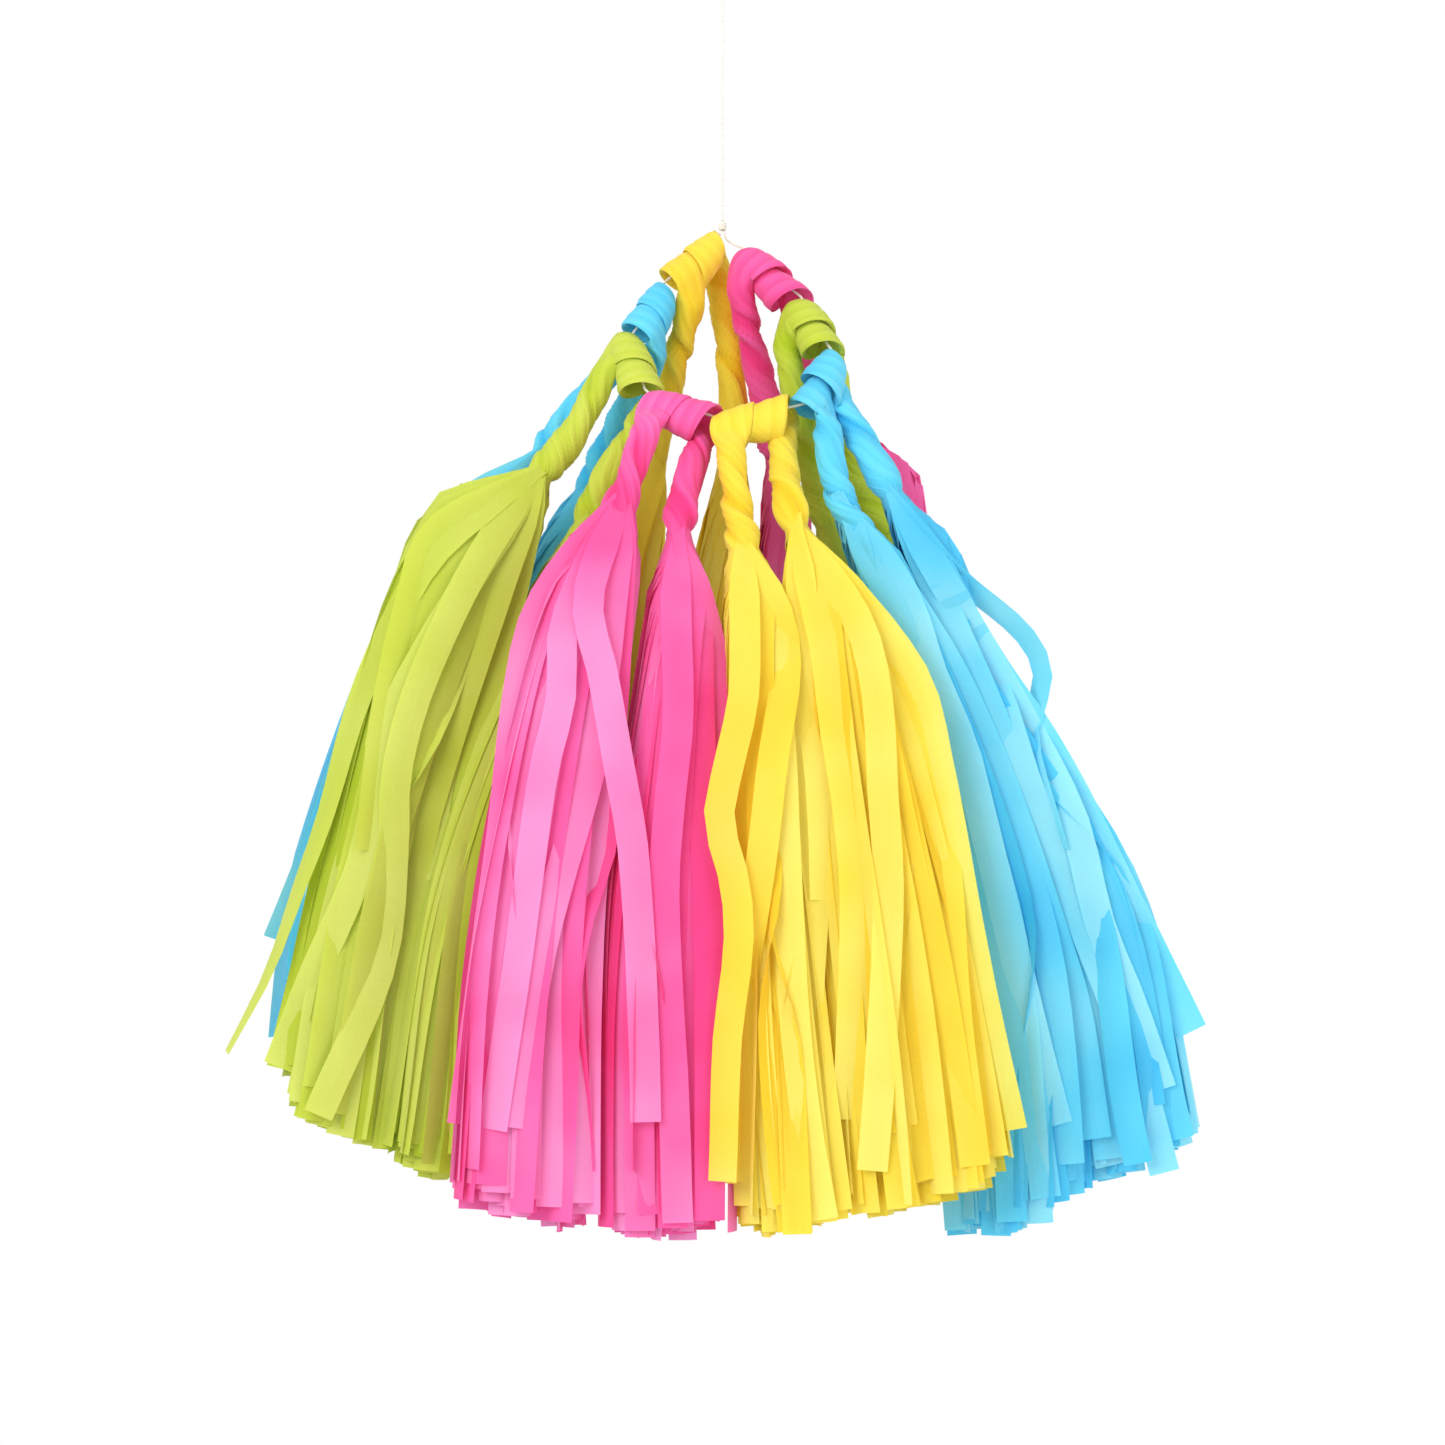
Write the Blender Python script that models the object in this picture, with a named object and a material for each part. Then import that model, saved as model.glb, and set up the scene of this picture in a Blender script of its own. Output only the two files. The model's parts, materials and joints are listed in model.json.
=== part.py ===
"""Tissue-paper tassel garland, bunched on a loop of string and hung by an eye.

Metres, +Z up, the front of the bunch towards -Y. The origin is the top of the
inside of the hanging eye, where a hook or a nail carries the garland.
"""

import math
import random

import bmesh
import bpy
from mathutils import Matrix, Vector

# String and knots
STRING_DIAMETER = 0.0012
STRING_RADIUS = STRING_DIAMETER / 2
SEAT_GAP = 0.0003
EYE_HEIGHT = 0.014
EYE_WIDTH = 0.009
KNOT_DIAMETER = 0.0038
KNOT_HEIGHT = 0.0042
KNOT_COILS = 3
LEAD_LENGTH = 0.099
STRING_SPREAD = 0.0009  # half the distance between the two strings that enter one side of a knot

# The loop that the tassels are threaded on, as it hangs
LOOP_WIDTH = 0.080
LOOP_HEIGHT = 0.081
LOOP_LEAN = 0.058  # how far its lowest point stands in front of its top
LOOP_SWAY = 0.005  # how far its lowest point lies to the right of its top
FIRST_SADDLE_SHARE = 0.0698  # of the loop's length, from the top knot to the first tassel
SADDLE_PITCH_SHARE = 0.1171  # of the loop's length, from one tassel to the next

# The twisted paper that wraps the string
BAND_WIDTH_SHARE = 0.329  # of the way from one tassel to the next
BAND_THICKNESS = 0.0045
TUNNEL_RADIUS = 0.0030
WRAP_PITCH_SHARE = 0.404  # of the way from one tassel to the next
WRAP_TURNS = 1.5
LEG_DIAMETER = 0.0124
LEG_WAIST_SHARE = 0.9  # of the leg's diameter, halfway down
TWIST_RIDGE_SHARE = 0.11  # of the leg's radius
TWIST_LENGTH = 0.044  # of a leg for each full turn of its ridges
TWIST_SIDES = 8
WRAP_STEPS_A_TURN = 10
LEG_STEPS = 7
LOOSEN_STEPS = 2  # over which the flat band becomes a round rope
WRAP_PULL_SHARE = 0.35  # how far a leg runs on the way that it left the wrap

# Fringe
STRIP_WIDTH = 0.0127
STRIP_THICKNESS = 0.0015  # of the few sheets that hang together in a strip
OUTER_STRIPS = 8
INNER_STRIPS = 3
CROWN_LENGTH_SHARE = 0.14  # of the fringe's length, above the cuts
PLEAT_SHARE = 0.05  # of the crown's radius
CROWN_STEPS = 3
STRIP_ROOT = 0.008  # of each strip, inside its crown
TIP_SPREAD = 0.010
STRIP_TURN = math.radians(14)
STRIP_STOPS_SHARES = (0.0, 0.2, 0.5, 1.0)
HEADING_SHARE = 0.02  # of the fringe's drop, over which its direction is taken
INNER_RING_SHARE = 0.42

# The bunch as it hangs: half its width, its depth, and from the loop's top to the lowest tips
BUNCH_HALF_WIDTH = 0.210
BUNCH_DEPTH = 0.100
BUNCH_HEIGHT = 0.427
FRINGE_HALF_WIDTH_SHARE = 0.1262  # of the bunch's half width, for a full fringe
FRINGE_HALF_DEPTH_SHARE = 0.18  # of the bunch's depth

# Paper colours as linear light, and the string's
COLOURS = {
    "yellow": (0.95, 0.62, 0.02),
    "blue": (0.04, 0.52, 0.88),
    "green": (0.42, 0.62, 0.02),
    "pink": (0.95, 0.05, 0.30),
    "string": (0.80, 0.76, 0.68),
}
PAPER_ROUGHNESS = 0.9

# Each tassel in its order along the loop, from the top down the left side and up the right.
# Its two fringes follow, the one on the loop's outer side first: the neck as shares of the
# bunch's half width, depth and height, and then the shoulder, the middle and the hem, each
# with its shares of a full fringe's half width and half depth too.
TASSEL_SHARES = (
    ("yellow_back", "yellow", (
        ("right", (0.020, 0.05, 0.222), (
            (0.012, 0.06, 0.274, 0.40, 0.67),
            (-0.071, 0.07, 0.618, 0.75, 0.83),
            (-0.090, 0.08, 0.928, 0.83, 0.89),
        )),
        ("left", (-0.143, 0.03, 0.215), (
            (-0.171, 0.04, 0.274, 0.47, 0.67),
            (-0.279, 0.06, 0.618, 0.79, 0.83),
            (-0.324, 0.07, 0.913, 0.87, 0.89),
        )),
    )),
    ("blue_back", "blue", (
        ("outer", (-0.371, -0.10, 0.225), (
            (-0.471, -0.08, 0.278, 0.83, 0.72),
            (-0.755, -0.02, 0.618, 0.75, 0.83),
            (-0.802, 0.00, 0.849, 0.87, 0.83),
        )),
        ("inner", (-0.262, -0.08, 0.250), (
            (-0.312, -0.08, 0.318, 0.55, 0.67),
            (-0.533, -0.02, 0.628, 0.77, 0.83),
            (-0.557, 0.00, 0.908, 0.85, 0.83),
        )),
    )),
    ("green_left", "green", (
        ("outer", (-0.376, -0.52, 0.276), (
            (-0.490, -0.53, 0.318, 1.00, 0.83),
            (-0.726, -0.50, 0.618, 0.77, 0.89),
            (-0.819, -0.46, 0.888, 0.87, 0.94),
        )),
        ("inner", (-0.276, -0.54, 0.300), (
            (-0.324, -0.51, 0.364, 0.51, 0.61),
            (-0.519, -0.50, 0.647, 0.66, 0.78),
            (-0.595, -0.50, 0.928, 0.74, 0.78),
        )),
    )),
    ("pink_front", "pink", (
        ("left", (-0.195, -0.79, 0.270), (
            (-0.267, -0.85, 0.364, 0.75, 0.67),
            (-0.367, -0.88, 0.667, 1.00, 0.89),
            (-0.395, -0.89, 0.967, 1.13, 0.94),
        )),
        ("right", (-0.086, -0.82, 0.312), (
            (-0.083, -0.84, 0.392, 0.60, 0.78),
            (-0.112, -0.87, 0.667, 0.94, 0.94),
            (-0.117, -0.88, 0.984, 0.98, 0.94),
        )),
    )),
    ("yellow_front", "yellow", (
        ("left", (0.040, -0.84, 0.316), (
            (0.062, -0.86, 0.384, 0.51, 0.72),
            (0.095, -0.89, 0.647, 0.64, 0.89),
            (0.133, -0.90, 0.977, 0.89, 0.94),
        )),
        ("right", (0.148, -0.82, 0.305), (
            (0.217, -0.85, 0.384, 0.60, 0.78),
            (0.338, -0.89, 0.667, 1.17, 0.89),
            (0.421, -0.90, 0.952, 1.30, 0.92),
        )),
    )),
    ("blue_front", "blue", (
        ("left", (0.245, -0.73, 0.285), (
            (0.329, -0.64, 0.360, 0.49, 0.67),
            (0.526, -0.54, 0.667, 0.89, 0.83),
            (0.579, -0.52, 0.974, 1.00, 0.83),
        )),
        ("right", (0.340, -0.63, 0.270), (
            (0.457, -0.58, 0.337, 0.51, 0.67),
            (0.760, -0.50, 0.647, 0.77, 0.89),
            (0.845, -0.46, 0.918, 1.00, 0.89),
        )),
    )),
    ("green_right", "green", (
        ("outer", (0.300, -0.22, 0.280), (
            (0.371, -0.20, 0.357, 0.53, 0.67),
            (0.586, -0.13, 0.657, 0.70, 0.72),
            (0.695, -0.10, 0.898, 0.81, 0.78),
        )),
        ("inner", (0.214, -0.30, 0.300), (
            (0.252, -0.27, 0.372, 0.49, 0.61),
            (0.395, -0.18, 0.667, 0.70, 0.72),
            (0.476, -0.15, 0.942, 0.83, 0.78),
        )),
    )),
    ("pink_back", "pink", (
        ("outer", (0.257, 0.08, 0.200), (
            (0.327, 0.10, 0.254, 0.55, 0.72),
            (0.350, 0.17, 0.618, 0.72, 0.78),
            (0.343, 0.19, 0.918, 0.79, 0.78),
        )),
        ("inner", (0.114, 0.04, 0.235), (
            (0.129, 0.06, 0.303, 0.47, 0.67),
            (0.138, 0.10, 0.628, 0.70, 0.78),
            (0.131, 0.12, 0.937, 0.79, 0.83),
        )),
    )),
)

# Counts of points
GUIDE_STEPS = 400
BEND_STEPS = 3
EYE_STEPS = 16
KNOT_SIDES = 10
COIL_STEPS = 4
BEVEL_STEPS = 2
CREASE_ANGLE = math.radians(40)
RANDOM_SEED = 8

# Heights that follow from the sizes above
EYE_BASE_Z = STRING_RADIUS - EYE_HEIGHT
EYE_KNOT_Z = EYE_BASE_Z - SEAT_GAP - KNOT_HEIGHT
LEAD_TOP_Z = EYE_KNOT_Z - SEAT_GAP
LEAD_BASE_Z = LEAD_TOP_Z - LEAD_LENGTH
LOOP_TOP_Z = LEAD_BASE_Z - SEAT_GAP - KNOT_HEIGHT - SEAT_GAP
WRAP_RADIUS = TUNNEL_RADIUS + BAND_THICKNESS / 2
FRINGE_HALF_WIDTH = BUNCH_HALF_WIDTH * FRINGE_HALF_WIDTH_SHARE
FRINGE_HALF_DEPTH = BUNCH_DEPTH * FRINGE_HALF_DEPTH_SHARE
# The paper rests on the string, so its tunnel hangs below the string's own line
SEAT_DROP = TUNNEL_RADIUS - STRING_RADIUS - SEAT_GAP

COLLECTION_NAME = "tassel_garland"


def clear_scene():
    """Remove every object that the file starts with."""
    for old in list(bpy.data.objects):
        bpy.data.objects.remove(old, do_unlink=True)


def plain_material(name, colour):
    """A matte paper or string material."""
    material = bpy.data.materials.new(name)
    material.use_nodes = True
    shader = material.node_tree.nodes["Principled BSDF"]
    shader.inputs["Base Color"].default_value = (*colour, 1)
    shader.inputs["Roughness"].default_value = PAPER_ROUGHNESS
    shader.inputs["Metallic"].default_value = 0
    return material


def finish(obj, collection, colour, parent):
    """Give an object its own material, its collection and the empty that carries it."""
    obj.data.materials.append(plain_material(obj.name, COLOURS[colour]))
    collection.objects.link(obj)
    obj.parent = parent


def pivot(name, place, collection, parent=None):
    """An empty on a joint's axis. Places are world places, so a parent's is taken off."""
    empty = bpy.data.objects.new(name, None)
    empty.empty_display_size = LEG_DIAMETER
    empty.location = place - world_place(parent)
    empty.parent = parent
    collection.objects.link(empty)
    return empty


def world_place(empty):
    """Where an empty stands. Each empty is only moved, never turned."""
    place = Vector((0, 0, 0))
    while empty is not None:
        place += empty.location
        empty = empty.parent
    return place


def smooth(mesh):
    """Shade a round piece smooth, but keep its sharp edges."""
    mesh.shade_smooth()
    mesh.set_sharp_from_angle(angle=CREASE_ANGLE)


def string_piece(name, points, collection, parent):
    """A run of string through world points, as a curve with a round section."""
    origin = world_place(parent)
    curve = bpy.data.curves.new(name, "CURVE")
    curve.dimensions = "3D"
    curve.bevel_depth = STRING_RADIUS
    curve.bevel_resolution = BEVEL_STEPS
    curve.use_fill_caps = True
    spline = curve.splines.new("POLY")
    spline.points.add(len(points) - 1)
    for slot, point in zip(spline.points, points):
        slot.co = (*(point - origin), 1)
    finish(bpy.data.objects.new(name, curve), collection, "string", parent)


def add_loft(shape, rings):
    """Skin a list of rings of points, first to last, and close both ends."""
    made = [[shape.verts.new(point) for point in ring] for ring in rings]
    for upper, lower in zip(made, made[1:]):
        for here in range(len(upper)):
            after = (here + 1) % len(upper)
            shape.faces.new((upper[here], upper[after], lower[after], lower[here]))
    shape.faces.new(list(reversed(made[0])))
    shape.faces.new(made[-1])


def loft_mesh(name, lofts, origin):
    """A mesh of one or more closed lofts, with its points measured from origin."""
    shape = bmesh.new()
    for rings in lofts:
        add_loft(shape, rings)
    bmesh.ops.translate(shape, verts=shape.verts, vec=-origin)
    bmesh.ops.recalc_face_normals(shape, faces=shape.faces)
    mesh = bpy.data.meshes.new(name)
    shape.to_mesh(mesh)
    shape.free()
    return mesh


def hermite(start, start_slope, end, end_slope, share):
    """A point of the smooth curve that leaves start and reaches end on the given slopes."""
    square, cube = share**2, share**3
    return (
        start * (2 * cube - 3 * square + 1)
        + start_slope * (cube - 2 * square + share)
        + end * (3 * square - 2 * cube)
        + end_slope * (cube - square)
    )


def steps(count):
    """The shares 0 to 1 in count equal steps."""
    return [step / count for step in range(count + 1)]


# The hanging eye, its knots and the string that joins them


def knot(name, base, collection, parent):
    """A small overhand knot: its coils bulge and close in again between base and top."""
    rings = []
    count = KNOT_COILS * COIL_STEPS
    for step in range(count + 1):
        bulge = abs(math.sin(math.pi * KNOT_COILS * step / count))
        radius = KNOT_DIAMETER / 2 - STRING_RADIUS / 2 * (1 - bulge)
        height = base.z + KNOT_HEIGHT * step / count
        ring = []
        for side in range(KNOT_SIDES):
            turn = math.tau * side / KNOT_SIDES
            across = radius * math.cos(turn)
            deep = radius * math.sin(turn)
            ring.append(Vector((base.x + across, base.y + deep, height)))
        rings.append(ring)
    mesh = loft_mesh(name, [rings], world_place(parent))
    smooth(mesh)
    finish(bpy.data.objects.new(name, mesh), collection, "string", parent)


def eye_route():
    """The hanging eye, from one side of its knot up round the hook and down to the other side."""
    route = []
    for share in steps(EYE_STEPS):
        turn = math.tau * share
        side = -math.sin(turn) * math.sin(turn / 2)
        foot = STRING_SPREAD * (2 * share - 1)
        rise = EYE_HEIGHT * (1 - math.cos(turn)) / 2
        route.append(Vector((foot + side * EYE_WIDTH / 2, 0, EYE_BASE_Z + rise)))
    return route


def loop_point(share):
    """A point of the line that the tassels' loop follows. Share 0 and 1 are its top."""
    turn = math.tau * share
    widest = 2 * (2 / 3) * math.sqrt(1 / 3)  # of sin(turn) * sin(turn / 2)
    swell = math.sin(turn) * math.sin(turn / 2) / widest
    sink = (1 - math.cos(turn)) / 2
    return Vector((
        LOOP_SWAY * sink - LOOP_WIDTH / 2 * swell,
        -LOOP_LEAN * sink,
        LOOP_TOP_Z - LOOP_HEIGHT * sink,
    ))


GUIDE = [loop_point(share) for share in steps(GUIDE_STEPS)]
LOOP_LENGTH = sum((after - here).length for here, after in zip(GUIDE, GUIDE[1:]))

# The tassels share out the loop, so their wraps follow its length
FIRST_SADDLE = LOOP_LENGTH * FIRST_SADDLE_SHARE
SADDLE_PITCH = LOOP_LENGTH * SADDLE_PITCH_SHARE
WRAP_PITCH = SADDLE_PITCH * WRAP_PITCH_SHARE
BAND_WIDTH = SADDLE_PITCH * BAND_WIDTH_SHARE


def along_loop(distance):
    """The point at a distance along the loop from its top."""
    walked = 0
    for here, after in zip(GUIDE, GUIDE[1:]):
        span = (after - here).length
        if walked + span >= distance:
            return here.lerp(after, (distance - walked) / span)
        walked += span
    return GUIDE[-1]


class Saddle:
    """Where one tassel sits on the string, with its directions.

    along runs with the string, up is square to it, and out points away from the bunch.
    """

    def __init__(self, order):
        """Find the place of the tassel that is order-th from the loop's top."""
        distance = FIRST_SADDLE + SADDLE_PITCH * order
        before = along_loop(distance - WRAP_PITCH)
        after = along_loop(distance + WRAP_PITCH)
        self.place = along_loop(distance)
        self.along = (after - before).normalized()
        rise = Vector((0, 0, 1))
        self.up = (rise - self.along * rise.dot(self.along)).normalized()
        self.out = self.along.cross(self.up)

    def at(self, along, out, up):
        """The world point at distances along, out of and above the saddle's place."""
        return self.place + self.along * along + self.out * out + self.up * up


def loop_route(saddles):
    """The threaded string: straight through each tassel, bent between them."""
    half = WRAP_PITCH
    left = Vector((-STRING_SPREAD, 0, LOOP_TOP_Z))
    right = Vector((STRING_SPREAD, 0, LOOP_TOP_Z))
    ends = [(left, Vector((0, 0, -1)))]
    for saddle in saddles:
        ends.append((saddle.at(-half, 0, 0), saddle.along))
        ends.append((saddle.at(half, 0, 0), saddle.along))
    ends.append((right, Vector((0, 0, 1))))
    route = []
    for start in range(0, len(ends), 2):
        (here, heading), (there, arriving) = ends[start], ends[start + 1]
        reach = (there - here).length
        for share in steps(BEND_STEPS):
            route.append(hermite(here, heading * reach, there, arriving * reach, share))
    return route


# The twisted paper of one tassel: a leg, a turn and a half round the string, and a leg


def wrap_line(saddle):
    """Centres of the paper's wrap round the string, from its outer side to its inner one."""
    line = []
    for share in steps(round(WRAP_TURNS * WRAP_STEPS_A_TURN)):
        turn = math.tau * WRAP_TURNS * share
        along = WRAP_PITCH * WRAP_TURNS * (share - 1 / 2)
        rise = WRAP_RADIUS * math.sin(turn) - SEAT_DROP
        line.append(saddle.at(along, WRAP_RADIUS * math.cos(turn), rise))
    return line


def leg_line(wrap_end, wrap_heading, fringe):
    """Centres of a leg from just past the wrap down to the fringe's neck."""
    neck = fringe.top()
    reach = (neck - wrap_end).length
    leaving = wrap_heading * reach * WRAP_PULL_SHARE
    return [
        hermite(wrap_end, leaving, neck, fringe.heading(0) * reach, share)
        for share in steps(LEG_STEPS)[1:]
    ]


def square_to(heading, direction):
    """The direction, turned to lie square to the heading."""
    return (direction - heading * direction.dot(heading)).normalized()


def section(centre, heading, wide, loose, walked, waist):
    """One ring of the twisted paper.

    It is a flat band on the string, where loose is 0, and a ridged rope on a leg, where it is 1.
    """
    thick = heading.cross(wide)
    ring = []
    for side in range(TWIST_SIDES):
        angle = math.tau * side / TWIST_SIDES
        ridge = (1 - math.cos(2 * angle - math.tau * walked / TWIST_LENGTH)) / 2
        rope = LEG_DIAMETER / 2 * waist * (1 - TWIST_RIDGE_SHARE * ridge)
        across = BAND_WIDTH / 2 * (1 - loose) + rope * loose
        through = BAND_THICKNESS / 2 * (1 - loose) + rope * loose
        ring.append(centre + wide * across * math.cos(angle) + thick * through * math.sin(angle))
    return ring


def twist_rings(saddle, fringes):
    """All the rings of a tassel's twisted paper, from the outer neck to the inner one."""
    outer, inner = fringes
    wrap = wrap_line(saddle)
    rising = leg_line(wrap[0], (wrap[0] - wrap[1]).normalized(), outer)
    falling = leg_line(wrap[-1], (wrap[-1] - wrap[-2]).normalized(), inner)
    line = rising[::-1] + wrap + falling
    headings = [(after - before).normalized() for before, after in zip(line, line[2:])]
    headings = [-outer.heading(0), *headings, inner.heading(0)]
    wides = [square_to(heading, saddle.along) for heading in headings]
    wrap_start, wrap_end = LEG_STEPS, LEG_STEPS + len(wrap) - 1
    for place in range(wrap_start - 1, -1, -1):
        wides[place] = square_to(headings[place], wides[place + 1])
    for place in range(wrap_end + 1, len(line)):
        wides[place] = square_to(headings[place], wides[place - 1])
    rings = []
    walked = 0
    for place, centre in enumerate(line):
        walked += (centre - line[max(place - 1, 0)]).length
        down = max(wrap_start - place, place - wrap_end, 0)
        loose = min(1, down / LOOSEN_STEPS)
        waist = 1 - (1 - LEG_WAIST_SHARE) * math.sin(math.pi * down / LEG_STEPS)
        rings.append(section(centre, headings[place], wides[place], loose, walked, waist))
    return rings


# One fringe: the crown where the sheets gather, and the strips cut from them


class Fringe:
    """One end of a tassel, from its neck on the twisted leg to its tips."""

    def __init__(self, side, neck_shares, stations):
        """Take the neck and the stations below it from their shares of the bunch's sizes."""
        self.side = side
        self.neck = bunch_place(neck_shares)
        rope = LEG_DIAMETER / 2
        rows = [(*self.neck, rope, rope)]
        for *place, width_share, depth_share in stations:
            half_width = FRINGE_HALF_WIDTH * width_share - STRIP_THICKNESS
            half_depth = FRINGE_HALF_DEPTH * depth_share - STRIP_THICKNESS
            rows.append((*bunch_place(place), half_width, half_depth))
        self.rows = rows
        drop = rows[0][2] - rows[-1][2]
        self.knots = [(rows[0][2] - row[2]) / drop for row in rows]
        self.hem = Vector(rows[-1][:3])

    def slope(self, knot, axis):
        """How fast a value changes there with the share of the drop."""
        before, after = max(knot - 1, 0), min(knot + 1, len(self.rows) - 1)
        rise = self.rows[after][axis] - self.rows[before][axis]
        return rise / (self.knots[after] - self.knots[before])

    def guide(self, share):
        """The middle of the fringe and its half sizes, on a smooth curve through its stations."""
        knot = max(place for place in range(len(self.rows) - 1) if self.knots[place] <= max(share, 0))
        span = self.knots[knot + 1] - self.knots[knot]
        t = (share - self.knots[knot]) / span
        values = []
        for axis, (low, high) in enumerate(zip(self.rows[knot], self.rows[knot + 1])):
            leaving = self.slope(knot, axis) * span
            arriving = self.slope(knot + 1, axis) * span
            bend = low * (2 * t**3 - 3 * t**2 + 1) + high * (3 * t**2 - 2 * t**3)
            values.append(bend + leaving * (t**3 - 2 * t**2 + t) + arriving * (t**3 - t**2))
        return values

    def centre(self, share):
        """The middle of the fringe at a share of its drop."""
        return Vector(self.guide(share)[:3])

    def heading(self, share):
        """The direction in which the fringe runs there."""
        here = min(share, 1 - HEADING_SHARE)
        return (self.centre(here + HEADING_SHARE) - self.centre(here)).normalized()

    def top(self):
        """The leg's end, a gap above the crown."""
        return self.neck - self.heading(0) * SEAT_GAP

    def frame(self, share):
        """The centre, and the across and deep directions of the section there."""
        heading = self.heading(share)
        front = Vector((0, -1, 0))
        across = front.cross(heading).normalized()
        return self.centre(share), across, heading.cross(across)

    def sizes(self, share):
        """Half the width and half the depth of the section there."""
        return self.guide(share)[3:]

    def crown_rings(self):
        """The pleated crown, a ring at a time."""
        rings = []
        sides = OUTER_STRIPS * 2
        for step in steps(CROWN_STEPS):
            share = CROWN_LENGTH_SHARE * step
            centre, across, deep = self.frame(share)
            wide, thick = self.sizes(share)
            ring = []
            for side in range(sides):
                pleat = 1 - PLEAT_SHARE * step * (side % 2)
                turn = math.tau * side / sides
                sideways = across * wide * pleat * math.cos(turn)
                ring.append(centre + sideways + deep * thick * pleat * math.sin(turn))
            rings.append(ring)
        return rings

    def strip_rings(self, turn, ring_share, length_share, tilt):
        """One hanging strip, at an angle round the fringe and a share of its radius."""
        length = (self.hem - self.neck).length
        root = CROWN_LENGTH_SHARE - STRIP_ROOT / length
        rings = []
        for stop in STRIP_STOPS_SHARES:
            share = root + (length_share - root) * stop
            centre, across, deep = self.frame(share)
            wide, thick = self.sizes(share)
            inset = STRIP_THICKNESS
            place = centre + across * (wide - inset) * ring_share * math.cos(turn)
            place += deep * (thick - inset) * ring_share * math.sin(turn)
            flat = (deep * thick * math.cos(turn) - across * wide * math.sin(turn)).normalized()
            heading = self.heading(share)
            flat = Matrix.Rotation(tilt * stop, 3, heading) @ flat
            outward = flat.cross(heading)
            half_width = self.strip_width(share) / 2
            half_thickness = STRIP_THICKNESS / 2
            rings.append([
                place + flat * half_width * one + outward * half_thickness * other
                for one, other in ((-1, -1), (1, -1), (1, 1), (-1, 1))
            ])
        return rings

    def strip_width(self, share):
        """A strip is drawn in at the crown and lies flat at its tip."""
        gathered = LEG_DIAMETER / 2 / self.rows[-1][3]
        return STRIP_WIDTH * (gathered + (1 - gathered) * share)

    def strips(self, chance):
        """Every strip of the fringe, the outer ring and the few inside it."""
        drop = self.neck.z - self.hem.z
        made = []
        for count, ring_share in ((OUTER_STRIPS, 1), (INNER_STRIPS, INNER_RING_SHARE)):
            for strip in range(count):
                turn = math.tau * strip / count
                length_share = 1 - TIP_SPREAD / drop * chance.random()
                tilt = STRIP_TURN * chance.uniform(-1, 1)
                made.append(self.strip_rings(turn, ring_share, length_share, tilt))
        return made


def bunch_place(shares):
    """A place in the hanging bunch, from shares of its half width, depth and height."""
    across, depth, drop = shares
    return Vector((BUNCH_HALF_WIDTH * across, BUNCH_DEPTH * depth, LOOP_TOP_Z - BUNCH_HEIGHT * drop))


def fringe_piece(name, colour, fringe, chance, collection, cutters, parent):
    """A crown with its strips joined to it as one solid."""
    origin = world_place(parent)
    crown = loft_mesh(name, [fringe.crown_rings()], origin)
    hanging = loft_mesh(f"{name}_strips", fringe.strips(chance), origin)
    strips = bpy.data.objects.new(f"{name}_strips", hanging)
    strips.hide_render = True
    strips.display_type = "WIRE"
    strips.parent = parent
    cutters.objects.link(strips)
    piece = bpy.data.objects.new(name, crown)
    finish(piece, collection, colour, parent)
    join = piece.modifiers.new("strips", "BOOLEAN")
    join.operation = "UNION"
    join.solver = "EXACT"
    join.use_self = True
    join.object = strips


def tassel(order, name, colour, fringe_shares, collection, cutters, parent):
    """One tassel: its twisted paper round the string and its two fringes."""
    saddle = Saddle(order)
    carrier = pivot(f"{name}_pivot", saddle.place, collection, parent)
    fringes = [Fringe(*shares) for shares in fringe_shares]
    mesh = loft_mesh(f"{name}_twist", [twist_rings(saddle, fringes)], saddle.place)
    smooth(mesh)
    finish(bpy.data.objects.new(f"{name}_twist", mesh), collection, colour, carrier)
    chance = random.Random(RANDOM_SEED + order)
    for fringe in fringes:
        fringe_piece(
            f"{name}_fringe_{fringe.side}", colour, fringe, chance, collection, cutters, carrier
        )


def build():
    """Make the whole garland."""
    clear_scene()
    collection = bpy.data.collections.new(COLLECTION_NAME)
    cutters = bpy.data.collections.new("cutters")
    bpy.context.scene.collection.children.link(collection)
    bpy.context.scene.collection.children.link(cutters)

    string_piece("hanging_eye", eye_route(), collection, None)
    knot("eye_knot", Vector((0, 0, EYE_KNOT_Z)), collection, None)

    bunch = pivot("bunch_pivot", Vector((0, 0, LEAD_TOP_Z)), collection)
    lead = [Vector((0, 0, LEAD_TOP_Z - LEAD_LENGTH * share)) for share in steps(BEND_STEPS)]
    string_piece("hanging_string", lead, collection, bunch)
    knot("loop_knot", Vector((0, 0, LOOP_TOP_Z + SEAT_GAP)), collection, bunch)
    saddles = [Saddle(order) for order in range(len(TASSEL_SHARES))]
    string_piece("threaded_loop", loop_route(saddles), collection, bunch)

    for order, (name, colour, fringe_shares) in enumerate(TASSEL_SHARES):
        tassel(order, name, colour, fringe_shares, collection, cutters, bunch)
    bpy.context.view_layer.update()


build()
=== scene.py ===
"""The looks of a tissue-paper tassel garland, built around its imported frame.

Metres, +Z up, the front of the bunch towards -Y. The origin is the top of the inside
of the hanging eye. Eight tassels are threaded on one loop of string. Each is a pack of
tissue sheets whose middle is twisted and wound over the string, and whose two ends are
cut into strips.
"""

from __future__ import annotations

import json
import logging
import math
from dataclasses import dataclass
from enum import Enum
from typing import Any

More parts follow.
